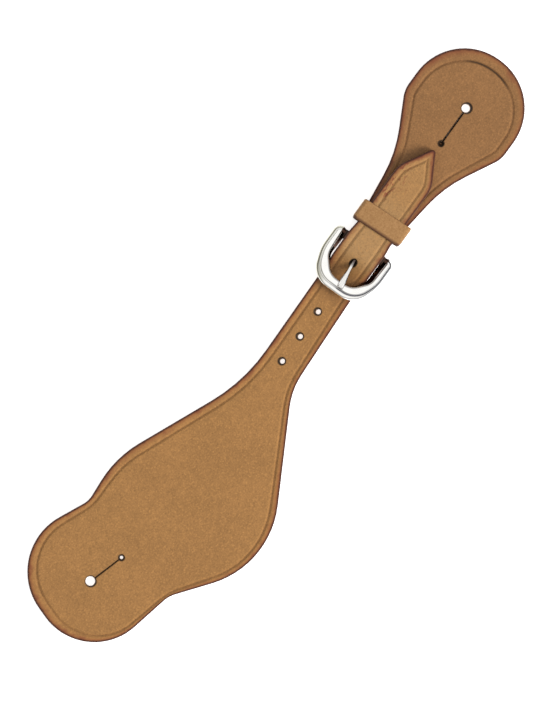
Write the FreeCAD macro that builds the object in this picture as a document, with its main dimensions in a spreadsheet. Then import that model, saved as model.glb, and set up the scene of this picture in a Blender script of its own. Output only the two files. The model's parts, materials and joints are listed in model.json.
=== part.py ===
import FreeCAD, Part
import math
import os
import Sketcher

# A western spur strap, buckled: a long billet strap with a two-button wing, a short buckle
# strap with a round lobe, a loose keeper, and a buckle whose heel bar lies in the fold of the
# buckle strap.  Millimetres.  While the pieces are drawn, x runs along the strap from the
# buckle bar (the wing is at -x, the lobe at +x), y runs across it and z = 0 is the floor.  The
# last step moves every piece so that the origin is at the middle of the strap, on the floor.

doc = FreeCAD.newDocument("spur_strap")
sheet = doc.addObject("Spreadsheet::Sheet", "Sizes")
V = FreeCAD.Vector

SIZES = {
    # leather
    "leather_thick": 3.4,
    "return_thick": 2.8,
    "skive_edge": 0.5,
    "keeper_thick": 1.6,
    "layer_gap": 0.25,
    "seam_gap": 0.1,
    "edge_bevel": 0.5,
    "crease_width": 0.9,
    "crease_depth": 0.4,
    "billet_crease_inset": 3.8,
    "lobe_crease_inset": 4.8,
    # billet strap, seen from above: reach is to the left of the bar, side is across the strap,
    # and back is the distance back from the far corner of the wing towards the bar
    "billet_half": 9.5,
    "tip_reach": 54.7,
    "tip_shoulder_reach": 39.4,
    "tip_shoulder_round": 14,
    "tip_round": 1.4,
    "neck_reach": 25,
    "neck_round": 150,
    "wing_end_reach": 236,
    "top_flare_back": 152.5,
    "top_flare_side": 8.6,
    "top_flare_round": 82,
    "top_shoulder_back": 89,
    "top_shoulder_side": 36.3,
    "top_shoulder_round": 52,
    "top_waist_back": 65.5,
    "top_waist_side": 34.5,
    "top_waist_round": 11,
    "top_lobe_back": 22,
    "top_lobe_side": 54.7,
    "top_lobe_round": 29,
    "low_lobe_side": 10.5,
    "low_lobe_round": 28,
    "low_waist_back": 51.3,
    "low_waist_side": 21.5,
    "low_waist_round": 14.5,
    "low_shoulder_back": 90.4,
    "low_shoulder_side": 51.5,
    "low_shoulder_round": 43,
    "low_flare_back": 162.4,
    "low_flare_side": 11.6,
    "low_flare_round": 35,
    # billet strap, seen from the side
    "rise_reach": 50,
    "rise_round": 150,
    "dip_reach": 15,
    "dip_height": 1.8,
    "crest_reach": 4.5,
    "billet_bend": 9,
    "tip_drop": 4.6,
    # holes
    "punch_round": 1.75,
    "punch_reach": 23.1,
    "punch_pitch": 14.17,
    "used_hole_round": 2.0,
    "used_hole_lift": 0.6,
    "used_hole_start": 1.0,
    "button_round": 2.5,
    "stop_round": 1.5,
    "slit_width": 0.5,
    "wing_button_back": 35.8,
    "wing_button_side": 11.9,
    "wing_stop_back": 53.0,
    "wing_stop_side": 6.8,
    "lobe_button_back": 27.5,
    "lobe_stop_back": 47.8,
    # buckle strap, reaching to the right of the bar; back is the distance back from its far end
    "lobe_end_reach": 106.7,
    "strap_half": 9.6,
    "fold_gap": 0.4,
    "fold_wide_reach": 1.4,
    "fold_narrow_reach": 3.0,
    "widen_reach": 8,
    "strap_flare_half": 13.8,
    "strap_flare_round": 62,
    "strap_shoulder_back": 36.9,
    "strap_shoulder_round": 13.4,
    "lobe_half": 27.7,
    "lobe_flat": 0.4,
    "stack_reach": 24,
    "skive_reach": 18.8,
    "landing_reach": 46,
    "strap_bend": 40,
    "bend_skew": 0.34,
    # keeper
    "keeper_reach": 13.2,
    "keeper_width": 10.4,
    "keeper_travel": 1.4,
    "keeper_round": 2.0,
    "staple_wire": 0.7,
    "staple_span": 6,
    "staple_leg": 1.3,
    # fold stitching
    "thread_thick": 0.6,
    "thread_width": 0.9,
    "stitch_side": 6.8,
    "stitch_reach": 6.6,
    "stitch_pitch": 3.1,
    # buckle
    "bar_round": 1.4,
    "bar_fit": 0.1,
    "band_thick": 3.0,
    "front_reach": 26.0,
    "front_side": 11.5,
    "front_round": 11.4,
    "rail_reach": 12.4,
    "rail_half": 16.4,
    "rail_round": 21,
    "heel_reach": 1.7,
    "heel_round": 3.4,
    "inner_reach": 20.4,
    "inner_side": 5.5,
    "inner_round": 6.6,
    "inner_rail_reach": 12.5,
    "inner_half": 11.8,
    "inner_rail_round": 6.3,
    "band_crown": 1.2,
    "band_ease": 0.5,
    # tongue
    "eye_fit": 0.08,
    "tongue_thick": 1.6,
    "tongue_reach": 23.6,
    "tongue_root_width": 2.3,
    "tongue_tip_width": 3.2,
    "eye_width": 3.4,
    "tongue_ease": 0.4,
    "tongue_rest_gap": 0.12,
    "slot_fit": 0.3,
}

PUNCHED_HOLES = 4
STITCHES = 4
# The buckle strap starts to flare this far of the way from where it widens to the shoulder.
FLARE_SHARE = 0.5744

for row, (name, number) in enumerate(SIZES.items(), start=1):
    sheet.set(f"A{row}", name)
    sheet.set(f"B{row}", str(number))
    sheet.setAlias(f"B{row}", name)
doc.recompute()


class Size:
    """A length that holds both its number and the sheet expression that drives it."""

    def __init__(self, number, text):
        self.number = number
        self.text = text

    def __add__(self, other):
        return Size(self.number + other.number, f"({self.text} + {other.text})")

    def __sub__(self, other):
        return Size(self.number - other.number, f"({self.text} - {other.text})")

    def __neg__(self):
        return Size(-self.number, f"(-{self.text})")

    def __mul__(self, factor):
        return Size(self.number * factor, f"({self.text} * {factor})")

    def share(self, part, whole):
        """This length in the proportion of part to whole."""
        return Size(self.number * part.number / whole.number,
                    f"({self.text} * {part.text} / {whole.text})")


def size(name):
    return Size(float(getattr(sheet, name)), f"Sizes.{name}")


def bind(target, path, length):
    """Drive one property, or one sketch constraint, from the sheet."""
    target.setExpression(path, length.text)


ZERO = Size(0.0, "0")

# Places that are measured back from the two far ends.
STRAP_SHOULDER = size("lobe_end_reach") - size("strap_shoulder_back")
STRAP_FLARE = size("widen_reach") + (STRAP_SHOULDER - size("widen_reach")) * FLARE_SHARE

# Heights of the layers, from the floor up.
STRAP_UNDER = size("keeper_thick") + size("layer_gap")
SEAM = STRAP_UNDER + size("return_thick")
STRAP_TOP = SEAM + size("leather_thick")
BILLET_UNDER = STRAP_TOP + size("layer_gap")
KEEPER_UNDER = BILLET_UNDER + size("leather_thick") + size("layer_gap")
BAR_HEIGHT = (STRAP_UNDER + STRAP_TOP) * 0.5
EYE_INNER = size("bar_round") + size("eye_fit")
EYE_OUTER = EYE_INNER + size("tongue_thick")

# A blank or a cut of this height passes every layer, and one this many half widths across
# passes both sides.
PAST_ALL = STRAP_TOP * 4
PAST_SIDES = 2.5
# An edge counts as level, and a face as upright, within this much.
LEVEL = 0.01
# A slope above this is a top face.
TOP_SLOPE = 0.5


# ---------------------------------------------------------------- sketch helpers

def pin(sketch, geometry, end, x, y):
    """Fix one point of a sketch at x, y from the sketch's origin."""
    for kind, axis, length in (("DistanceX", -2, x), ("DistanceY", -1, y)):
        if length is ZERO:
            sketch.addConstraint(Sketcher.Constraint("PointOnObject", geometry, end, axis))
        else:
            rule = Sketcher.Constraint(kind, -1, 1, geometry, end, length.number)
            index = sketch.addConstraint(rule)
            bind(sketch, f"Constraints[{index}]", length)


def set_radius(sketch, geometry, radius):
    rule = Sketcher.Constraint("Radius", geometry, radius.number)
    index = sketch.addConstraint(rule)
    bind(sketch, f"Constraints[{index}]", radius)


def corner_arc(before, corner, after, radius):
    """The arc that rounds a corner: its geometry, where it starts and ends on the way round,
    and whether it turns left."""
    into = (corner - before).normalize()
    out = (after - corner).normalize()
    turn = math.atan2(into.cross(out).z, into.dot(out))
    run = radius * math.tan(abs(turn) / 2)
    start = corner - into * run
    end = corner + out * run
    left = turn > 0
    side = V(-into.y, into.x, 0) if left else V(into.y, -into.x, 0)
    centre = start + side * radius
    first, last = (start, end) if left else (end, start)
    first_angle = math.atan2(first.y - centre.y, first.x - centre.x)
    last_angle = math.atan2(last.y - centre.y, last.x - centre.x)
    if last_angle < first_angle:
        last_angle += 2 * math.pi
    arc = Part.ArcOfCircle(Part.Circle(centre, V(0, 0, 1), radius), first_angle, last_angle)
    return arc, start, end, left


def draw_outline(sketch, corners, closed=True):
    """Straight runs between corners (x, y, radius), with a tangent arc at each corner that has
    a radius.  Each rounded corner keeps a construction point where its two runs would meet."""
    count = len(corners)
    points = [V(x.number, y.number, 0) for x, y, _ in corners]
    starts = list(points)
    ends = list(points)
    arcs = {}
    for i, (x, y, radius) in enumerate(corners):
        if radius is None:
            continue
        arc, start, end, left = corner_arc(points[i - 1], points[i],
                                           points[(i + 1) % count], radius.number)
        starts[i] = start
        ends[i] = end
        arcs[i] = (sketch.addGeometry(arc), left)
        set_radius(sketch, arcs[i][0], radius)
    runs = range(count) if closed else range(count - 1)
    lines = {}
    for i in runs:
        lines[i] = sketch.addGeometry(Part.LineSegment(ends[i], starts[(i + 1) % count]))
    for i, (x, y, radius) in enumerate(corners):
        before = lines.get((i - 1) % count)
        after = lines.get(i)
        if radius is None:
            owner, end = (after, 1) if after is not None else (before, 2)
            pin(sketch, owner, end, x, y)
            if before is not None and after is not None:
                sketch.addConstraint(Sketcher.Constraint("Coincident", before, 2, after, 1))
            continue
        arc, left = arcs[i]
        arc_in, arc_out = (1, 2) if left else (2, 1)
        sketch.addConstraint(Sketcher.Constraint("Tangent", before, 2, arc, arc_in))
        sketch.addConstraint(Sketcher.Constraint("Tangent", arc, arc_out, after, 1))
        meeting = sketch.addGeometry(Part.Point(points[i]), True)
        pin(sketch, meeting, 1, x, y)
        sketch.addConstraint(Sketcher.Constraint("PointOnObject", meeting, 1, before))
        sketch.addConstraint(Sketcher.Constraint("PointOnObject", meeting, 1, after))


def draw_circle(sketch, x, y, radius):
    circle = Part.Circle(V(x.number, y.number, 0), V(0, 0, 1), radius.number)
    geometry = sketch.addGeometry(circle)
    pin(sketch, geometry, 3, x, y)
    set_radius(sketch, geometry, radius)


def draw_rectangle(sketch, left, right, low, high):
    draw_outline(sketch, [(left, low, None), (right, low, None),
                          (right, high, None), (left, high, None)])


def draw_buttonhole(sketch, button, stop):
    """A round hole for the button with a slit that runs to a small stop hole.  button and stop
    are (x, y, radius)."""
    centres = [V(x.number, y.number, 0) for x, y, _ in (button, stop)]
    half_slit = size("slit_width") * 0.5
    along = (centres[1] - centres[0]).normalize()
    across = V(-along.y, along.x, 0)
    bearing = math.atan2(along.y, along.x)
    arcs = []
    ends = []
    for (x, y, radius), centre, way in zip((button, stop), centres, (0, math.pi)):
        opening = math.asin(half_slit.number / radius.number)
        circle = Part.Circle(centre, V(0, 0, 1), radius.number)
        arc = Part.ArcOfCircle(circle, bearing + way + opening,
                               bearing + way + 2 * math.pi - opening)
        geometry = sketch.addGeometry(arc)
        pin(sketch, geometry, 3, x, y)
        set_radius(sketch, geometry, radius)
        arcs.append(geometry)
        ends.append(math.cos(opening) * radius.number)
    spine = sketch.addGeometry(Part.LineSegment(*centres), True)
    sketch.addConstraint(Sketcher.Constraint("Coincident", spine, 1, arcs[0], 3))
    sketch.addConstraint(Sketcher.Constraint("Coincident", spine, 2, arcs[1], 3))
    for sign, button_end, stop_end in ((1, 1, 2), (-1, 2, 1)):
        shift = across * (sign * half_slit.number)
        side = sketch.addGeometry(Part.LineSegment(centres[0] + along * ends[0] + shift,
                                                   centres[1] - along * ends[1] + shift))
        sketch.addConstraint(Sketcher.Constraint("Coincident", side, 1, arcs[0], button_end))
        sketch.addConstraint(Sketcher.Constraint("Coincident", side, 2, arcs[1], stop_end))
        sketch.addConstraint(Sketcher.Constraint("Parallel", side, spine))
    rule = Sketcher.Constraint("Distance", side, 1, spine, half_slit.number)
    bind(sketch, f"Constraints[{sketch.addConstraint(rule)}]", half_slit)


def free_sketch(name, upright=False):
    """A sketch that belongs to no body, on the floor or upright along the strap."""
    sketch = doc.addObject("Sketcher::SketchObject", name)
    if upright:
        sketch.Placement = FreeCAD.Placement(V(0, 0, 0), FreeCAD.Rotation(V(1, 0, 0), 90))
    return sketch


def body_sketch(body, name, role):
    """A sketch on one of the body's own origin planes."""
    sketch = body.newObject("Sketcher::SketchObject", name)
    plane = next(p for p in body.Origin.OriginFeatures if p.Role == role)
    sketch.AttachmentSupport = [(plane, "")]
    sketch.MapMode = "FlatFace"
    return sketch


def new_body(name, base=None):
    body = doc.addObject("PartDesign::Body", name)
    if base is not None:
        body.BaseFeature = base
    doc.recompute()
    return body


def pad(body, sketch, length, both_ways=True):
    feature = body.newObject("PartDesign::Pad", f"{sketch.Name}_pad")
    feature.Profile = sketch
    bind(feature, "Length", length)
    if both_ways:
        feature.SideType = "Symmetric"
    doc.recompute()
    return feature


def cut_through(body, sketch):
    """A pocket through everything, both ways from its sketch."""
    feature = body.newObject("PartDesign::Pocket", f"{sketch.Name}_pocket")
    feature.Profile = sketch
    feature.Type = "ThroughAll"
    feature.SideType = "Symmetric"
    doc.recompute()
    return feature


def dress_edges(body, kind, dimension, width, wanted):
    """Fillet or chamfer the edges of the body that the test picks."""
    base = body.Tip
    names = [f"Edge{i}" for i, edge in enumerate(base.Shape.Edges, start=1) if wanted(edge)]
    feature = body.newObject(f"PartDesign::{kind}", f"{body.Name}_{kind.lower()}_{len(body.Group)}")
    feature.Base = (base, names)
    bind(feature, dimension, width)
    doc.recompute()
    return feature


def round_edges(body, radius, wanted):
    return dress_edges(body, "Fillet", "Radius", radius, wanted)


def chamfer_edges(body, width, wanted):
    return dress_edges(body, "Chamfer", "Size", width, wanted)


def extrude(name, source, direction, length):
    """A solid made from a flat face, to both sides of it."""
    solid = doc.addObject("Part::Extrusion", name)
    solid.Base = source
    solid.DirMode = "Custom"
    solid.Dir = direction
    solid.Solid = True
    solid.Symmetric = True
    bind(solid, "LengthFwd", length)
    return solid


def offset(name, source, distance, fill=False, mode="Pipe"):
    shifted = doc.addObject("Part::Offset2D", name)
    shifted.Source = source
    shifted.Mode = mode
    shifted.Join = "Intersection"
    shifted.Fill = fill
    bind(shifted, "Value", distance)
    return shifted


def combine(kind, name, base, tool):
    result = doc.addObject(f"Part::{kind}", name)
    result.Base = base
    result.Tool = tool
    return result


# ---------------------------------------------------------------- leather

def crease_cutter(name, outline, inset, path, lift, width):
    """A shallow groove that runs round a strap inside its edge: a ring that follows the
    outline, kept only where it meets the top skin of the strap.  path is the strap's underside
    and lift is how far the strap's top is above it."""
    ring_outer = offset(f"{name}_outer", outline, -(inset - size("crease_width") * 0.5))
    ring = offset(f"{name}_ring", ring_outer, -size("crease_width"), fill=True)
    wall = extrude(f"{name}_wall", ring, V(0, 0, 1), PAST_ALL)
    floor_line = offset(f"{name}_floor", path, lift - size("crease_depth"), mode="Skin")
    above = size("crease_depth") + size("leather_thick") * 0.5
    skin = offset(f"{name}_skin", floor_line, above, fill=True, mode="Skin")
    sheet_of_skin = extrude(f"{name}_sheet", skin, V(0, 1, 0), width)
    return combine("Common", f"{name}_groove", wall, sheet_of_skin)


def rim_test(shape, under_from):
    """A test for the edges where the top meets the cut side of the leather, and where the
    underside does to the right of a given reach."""
    def wanted(edge):
        middle = edge.valueAt((edge.FirstParameter + edge.LastParameter) / 2)
        slopes = []
        for face in shape.ancestorsOfType(edge, Part.Face):
            u, v = face.Surface.parameter(middle)
            slopes.append(face.normalAt(u, v).z)
        if min(abs(slope) for slope in slopes) > LEVEL:
            return False
        below = min(slopes) < -TOP_SLOPE and middle.x > under_from
        return max(slopes) > TOP_SLOPE or below
    return wanted


def bevel_leather(body, under_from):
    chamfer_edges(body, size("edge_bevel"), rim_test(body.Tip.Shape, under_from.number))


def wing_place(name):
    """A place on the wing, that moves with the wing's far end."""
    return size(f"{name}_back") - size("wing_end_reach")


def billet_outline():
    """The billet strap from above: a pointed tip, a straight neck and a two-lobed wing."""
    sketch = free_sketch("billet_outline")
    half = size("billet_half")
    corners = [
        (size("tip_reach") + size("tip_round"), ZERO, size("tip_round")),
        (size("tip_shoulder_reach"), half, size("tip_shoulder_round")),
        (-size("neck_reach"), half, size("neck_round")),
    ]
    for place in ("top_flare", "top_shoulder", "top_waist", "top_lobe"):
        corners.append((wing_place(place), size(f"{place}_side"), size(f"{place}_round")))
    corners.append((-size("wing_end_reach"), -size("low_lobe_side"), size("low_lobe_round")))
    for place in ("low_waist", "low_shoulder", "low_flare"):
        corners.append((wing_place(place), -size(f"{place}_side"), size(f"{place}_round")))
    corners += [
        (-size("neck_reach"), -half, size("neck_round")),
        (size("tip_shoulder_reach"), -half, size("tip_shoulder_round")),
    ]
    draw_outline(sketch, corners)
    return sketch


def billet_path():
    """The underside of the billet from the side: flat on the floor, up under the crossbar and
    over the heel bar, then along the buckle strap and down a little at the tip."""
    sketch = free_sketch("billet_path", upright=True)
    bend = size("billet_bend")
    draw_outline(sketch, [
        (-size("wing_end_reach"), ZERO, None),
        (-size("rise_reach"), ZERO, size("rise_round")),
        (-size("dip_reach"), size("dip_height"), bend),
        (-size("crest_reach"), BILLET_UNDER, bend),
        (size("stack_reach"), BILLET_UNDER, size("strap_bend")),
        (size("tip_reach") + size("leather_thick"), BILLET_UNDER - size("tip_drop"), None),
    ], closed=False)
    return sketch


def build_billet(tongue_tilt):
    outline = billet_outline()
    path = billet_path()
    doc.recompute()
    ribbon = offset("billet_ribbon", path, size("leather_thick"), fill=True, mode="Skin")
    width = size("top_lobe_side") * PAST_SIDES
    bent_sheet = extrude("billet_sheet", ribbon, V(0, 1, 0), width)
    pattern = extrude("billet_pattern", outline, V(0, 0, 1), PAST_ALL)
    blank = combine("Common", "billet_blank", bent_sheet, pattern)
    doc.recompute()

    leather = new_body("billet_leather", blank)
    bevel_leather(leather, -size("wing_end_reach"))
    holes = body_sketch(leather, "billet_holes", "XY_Plane")
    for i in range(PUNCHED_HOLES):
        reach = size("punch_reach") + size("punch_pitch") * i
        draw_circle(holes, -reach, ZERO, size("punch_round"))
    button = (wing_place("wing_button"), size("wing_button_side"), size("button_round"))
    stop = (wing_place("wing_stop"), size("wing_stop_side"), size("stop_round"))
    draw_buttonhole(holes, button, stop)
    cut_through(leather, holes)

    groove = crease_cutter("billet_crease", outline, size("billet_crease_inset"), path,
                           size("leather_thick"), width)
    creased = combine("Cut", "billet_creased", leather, groove)
    used_hole = doc.addObject("Part::Cylinder", "used_hole")
    bind(used_hole, "Radius", size("used_hole_round"))
    bind(used_hole, "Height", size("dip_reach") * 2)
    used_hole.Placement = used_hole_placement(tongue_tilt)
    return combine("Cut", "billet_strap", creased, used_hole)


def used_hole_placement(tongue_tilt):
    """The hole that the tongue is in is drawn open along the tongue, and lies a little above
    it.  It starts behind the top of the bar and leaves the leather before the crossbar."""
    above = EYE_INNER + size("tongue_thick") * 0.5 + size("used_hole_lift")
    start = V(size("used_hole_start").number, 0, above.number)
    tilted = FreeCAD.Rotation(V(0, 1, 0), tongue_tilt)
    place = V(0, 0, BAR_HEIGHT.number) + tilted.multVec(start)
    return FreeCAD.Placement(place, FreeCAD.Rotation(V(0, 1, 0), tongue_tilt - 90))


def strap_outline():
    """The buckle strap from above: the fold fills the bar between the heels, and past it the
    strap widens to a round lobe."""
    sketch = free_sketch("strap_outline")
    half = size("strap_half")
    fold_half = size("inner_half") - size("fold_gap")
    upper = [
        (-STRAP_TOP, fold_half, None),
        (size("fold_wide_reach"), fold_half, None),
        (size("fold_narrow_reach"), half, None),
        (size("widen_reach"), half, None),
        (STRAP_FLARE, size("strap_flare_half"), size("strap_flare_round")),
        (STRAP_SHOULDER, size("lobe_half"), size("strap_shoulder_round")),
        (size("lobe_end_reach"), size("lobe_half"), size("lobe_half") - size("lobe_flat")),
    ]
    lower = [(x, -y, radius) for x, y, radius in reversed(upper)]
    draw_outline(sketch, upper + lower)
    return sketch


def strap_profile():
    """The buckle strap from the side: one sheet folded round the bar, with its thinned end
    returned under it, that comes down to the floor at the lobe."""
    sketch = free_sketch("strap_profile", upright=True)
    fold_reach = -(size("return_thick") + size("leather_thick")) * 0.5
    fold_round = -fold_reach - size("seam_gap")
    end = size("lobe_end_reach") + size("leather_thick")
    bend = size("strap_bend")
    skew = size("bend_skew")
    draw_outline(sketch, [
        (end, ZERO, None),
        (size("landing_reach"), ZERO, bend),
        (size("stack_reach"), SEAM, None),
        (size("stack_reach"), SEAM - size("skive_edge"), None),
        (size("skive_reach"), STRAP_UNDER, None),
        (fold_reach, STRAP_UNDER, fold_round),
        (fold_reach, STRAP_TOP, fold_round),
        (size("stack_reach") + skew, STRAP_TOP, bend),
        (size("landing_reach") + skew, size("leather_thick"), bend),
        (end, size("leather_thick"), None),
    ])
    return sketch


def strap_crease_path():
    """The underside of the buckle strap from the end of the fold's return to the lobe."""
    sketch = free_sketch("strap_crease_path", upright=True)
    skew = size("bend_skew")
    draw_outline(sketch, [
        (size("stack_reach") + skew, STRAP_TOP, None),
        (size("landing_reach") + skew, size("leather_thick"), size("strap_bend")),
        (size("lobe_end_reach"), size("leather_thick"), None),
    ], closed=False)
    return sketch


def build_buckle_strap():
    outline = strap_outline()
    profile = strap_profile()
    crease_path = strap_crease_path()
    doc.recompute()
    width = size("lobe_half") * PAST_SIDES
    bent_sheet = extrude("strap_sheet", profile, V(0, 1, 0), width)
    pattern = extrude("strap_pattern", outline, V(0, 0, 1), PAST_ALL)
    blank = combine("Common", "strap_blank", bent_sheet, pattern)
    doc.recompute()

    body = new_body("strap_leather", blank)
    bevel_leather(body, size("landing_reach"))
    bore = body_sketch(body, "fold_bore", "XZ_Plane")
    draw_circle(bore, ZERO, BAR_HEIGHT, size("bar_round") + size("bar_fit"))
    cut_through(body, bore)
    seam = body_sketch(body, "fold_seam", "XZ_Plane")
    draw_rectangle(seam, size("bar_round"), size("stack_reach") + size("seam_gap"),
                   SEAM - size("seam_gap") * 0.5, SEAM + size("seam_gap") * 0.5)
    cut_through(body, seam)
    slot = body_sketch(body, "tongue_slot", "XY_Plane")
    slot_half = size("eye_width") * 0.5 + size("slot_fit")
    slot_end = EYE_OUTER + slot_half
    slot_round = slot_half - size("seam_gap")
    draw_outline(slot, [(-STRAP_TOP, -slot_half, None), (slot_end, -slot_half, slot_round),
                        (slot_end, slot_half, slot_round), (-STRAP_TOP, slot_half, None)])
    cut_through(body, slot)
    hole = body_sketch(body, "lobe_buttonhole", "XY_Plane")
    lobe_end = size("lobe_end_reach")
    draw_buttonhole(hole, (lobe_end - size("lobe_button_back"), ZERO, size("button_round")),
                    (lobe_end - size("lobe_stop_back"), ZERO, size("stop_round")))
    cut_through(body, hole)
    for side in (1, -1):
        cut_stitch_beds(body, side)
    groove = crease_cutter("strap_crease", outline, size("lobe_crease_inset"), crease_path,
                           ZERO, width)
    return combine("Cut", "buckle_strap", body, groove)


# ---------------------------------------------------------------- fold stitching

def stitch_places():
    """The reach of each stitch hole from the bar."""
    return [size("stitch_reach") + size("stitch_pitch") * i for i in range(STITCHES)]


def stitch_sketch(body, name, side):
    """An upright sketch along the strap, in the middle of a row of stitches."""
    sketch = body_sketch(body, name, "XZ_Plane")
    bind(sketch, "AttachmentOffset.Base.z", -(size("stitch_side") * side))
    return sketch


def draw_threads(sketch, spare):
    """The lower and the upper thread, each sunk in its face of the leather.  spare opens their
    beds out of the face."""
    half = size("thread_width") * 0.5
    left = size("stitch_reach") - half
    right = stitch_places()[-1] + half
    thick = size("thread_thick")
    draw_rectangle(sketch, left, right, STRAP_UNDER - spare, STRAP_UNDER + thick)
    draw_rectangle(sketch, left, right, STRAP_TOP - thick, STRAP_TOP + spare)


def draw_crossings(sketch):
    """Where the two threads pass through the leather and lock."""
    half = size("thread_width") * 0.5
    for x in stitch_places():
        draw_rectangle(sketch, x - half, x + half, STRAP_UNDER + size("thread_thick"),
                       STRAP_TOP - size("thread_thick"))


def cut_stitch_beds(body, side):
    """The awl holes, and the sunk lines above and below them, for one row of stitches."""
    name = "left" if side > 0 else "right"
    beds = stitch_sketch(body, f"stitch_beds_{name}", side)
    draw_threads(beds, size("seam_gap"))
    holes = stitch_sketch(body, f"awl_holes_{name}", side)
    draw_crossings(holes)
    for sketch in (beds, holes):
        pocket = body.newObject("PartDesign::Pocket", f"{sketch.Name}_pocket")
        pocket.Profile = sketch
        pocket.SideType = "Symmetric"
        bind(pocket, "Length", size("thread_width"))
        doc.recompute()


def build_stitch_row(name, side):
    """Lock stitching: a flattened thread above, another below, and both in every hole."""
    body = new_body(name)
    threads = stitch_sketch(body, f"{name}_threads", side)
    draw_threads(threads, ZERO)
    pad(body, threads, size("thread_width"))
    crossings = stitch_sketch(body, f"{name}_crossings", side)
    draw_crossings(crossings)
    pad(body, crossings, size("thread_width"))
    return body


# ---------------------------------------------------------------- keeper

def keeper_inner_half():
    """Half the opening of the keeper: it clears the widening strap at the end of its slide."""
    furthest = size("keeper_reach") + size("keeper_width") * 0.5 + size("keeper_travel")
    widening = size("strap_flare_half") - size("strap_half")
    grown = widening.share(furthest - size("widen_reach"), STRAP_FLARE - size("widen_reach"))
    return size("strap_half") + grown + size("layer_gap")


def build_keeper():
    """A loose leather loop whose ends meet under the strap."""
    body = new_body("keeper_loop")
    inner = keeper_inner_half()
    outer = inner + size("keeper_thick")
    top = KEEPER_UNDER + size("keeper_thick")
    outside = size("keeper_round")
    inside = outside - size("keeper_thick")
    loop = body_sketch(body, "keeper_section", "YZ_Plane")
    bind(loop, "AttachmentOffset.Base.z", size("keeper_reach"))
    draw_outline(loop, [(-outer, ZERO, outside), (outer, ZERO, outside),
                        (outer, top, outside), (-outer, top, outside)])
    floor = size("keeper_thick")
    draw_outline(loop, [(-inner, floor, inside), (inner, floor, inside),
                        (inner, KEEPER_UNDER, inside), (-inner, KEEPER_UNDER, inside)])
    pad(body, loop, size("keeper_width"))
    seam = body_sketch(body, "keeper_seam", "YZ_Plane")
    draw_rectangle(seam, -size("seam_gap"), size("seam_gap"), -size("keeper_thick"),
                   size("keeper_thick") + size("seam_gap"))
    cut_through(body, seam)
    bed = body_sketch(body, "staple_bed", "YZ_Plane")
    bind(bed, "AttachmentOffset.Base.z", size("keeper_reach"))
    draw_staple(bed, size("seam_gap") * 0.5)
    pocket = body.newObject("PartDesign::Pocket", "staple_bed_pocket")
    pocket.Profile = bed
    pocket.SideType = "Symmetric"
    bind(pocket, "Length", size("staple_wire") + size("seam_gap"))
    doc.recompute()
    return body


def draw_staple(sketch, ease):
    """The staple from the end of the strap: a crown along the underside and two legs up."""
    out = size("staple_span") * 0.5 + ease
    inward = size("staple_span") * 0.5 - size("staple_wire") - ease
    crown = size("staple_wire") + ease
    leg = size("staple_leg") + ease
    draw_outline(sketch, [(-out, ZERO, None), (out, ZERO, None), (out, leg, None),
                          (inward, leg, None), (inward, crown, None), (-inward, crown, None),
                          (-inward, leg, None), (-out, leg, None)])


def build_staple():
    body = new_body("keeper_staple")
    shape = body_sketch(body, "staple_shape", "YZ_Plane")
    bind(shape, "AttachmentOffset.Base.z", size("keeper_reach"))
    draw_staple(shape, ZERO)
    pad(body, shape, size("staple_wire"))
    return body


# ---------------------------------------------------------------- buckle

def build_frame():
    """A horseshoe band with a round bar cast across its heels, drawn flat about the bar."""
    body = new_body("buckle_frame")
    outline = body_sketch(body, "frame_outline", "XY_Plane")
    upper = [
        (-size("inner_reach"), size("inner_side"), size("inner_round")),
        (-size("inner_rail_reach"), size("inner_half"), size("inner_rail_round")),
        (size("heel_reach"), size("inner_half"), None),
        (size("heel_reach"), size("rail_half"), size("heel_round")),
        (-size("rail_reach"), size("rail_half"), size("rail_round")),
        (-size("front_reach"), size("front_side"), size("front_round")),
    ]
    lower = [(x, -y, radius) for x, y, radius in reversed(upper)]
    draw_outline(outline, upper + lower)
    pad(body, outline, size("band_thick"))
    half_band = size("band_thick").number / 2

    def at_level(level):
        def wanted(edge):
            box = edge.BoundBox
            return abs(box.ZMin - level) < LEVEL and abs(box.ZMax - level) < LEVEL
        return wanted

    round_edges(body, size("band_crown"), at_level(half_band))
    chamfer_edges(body, size("band_ease"), at_level(-half_band))
    bar = body_sketch(body, "heel_bar", "XZ_Plane")
    draw_circle(bar, ZERO, ZERO, size("bar_round"))
    pad(body, bar, (size("inner_half") + size("bar_round")) * 2)
    return body


def build_tongue():
    """A flat tongue whose root is curled round the bar, drawn level with the bar at zero."""
    body = new_body("buckle_tongue")
    side_view = body_sketch(body, "tongue_side", "XZ_Plane")
    reach = size("tongue_reach")
    draw_curl(side_view, reach)
    pad(body, side_view, size("eye_width"))
    plan = body_sketch(body, "tongue_plan", "XY_Plane")
    root = size("tongue_root_width") * 0.5
    tip = size("tongue_tip_width") * 0.5
    wide = size("eye_width")
    neck = -(EYE_OUTER + size("tongue_root_width"))
    for sign in (1, -1):
        draw_outline(plan, [
            (-EYE_OUTER, size("eye_width") * (0.5 * sign), None),
            (neck, root * sign, None),
            (-reach + size("tongue_ease"), tip * sign, None),
            (-reach - size("tongue_ease"), (tip - size("tongue_ease")) * sign, None),
            (-reach - size("tongue_ease"), wide * sign, None),
            (-EYE_OUTER, wide * sign, None),
        ])
    cut_through(body, plan)

    def long_edge(edge):
        box = edge.BoundBox
        return box.XMax < neck.number + LEVEL and box.XLength > tip.number * 2

    round_edges(body, size("tongue_ease"), long_edge)
    return body


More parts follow.
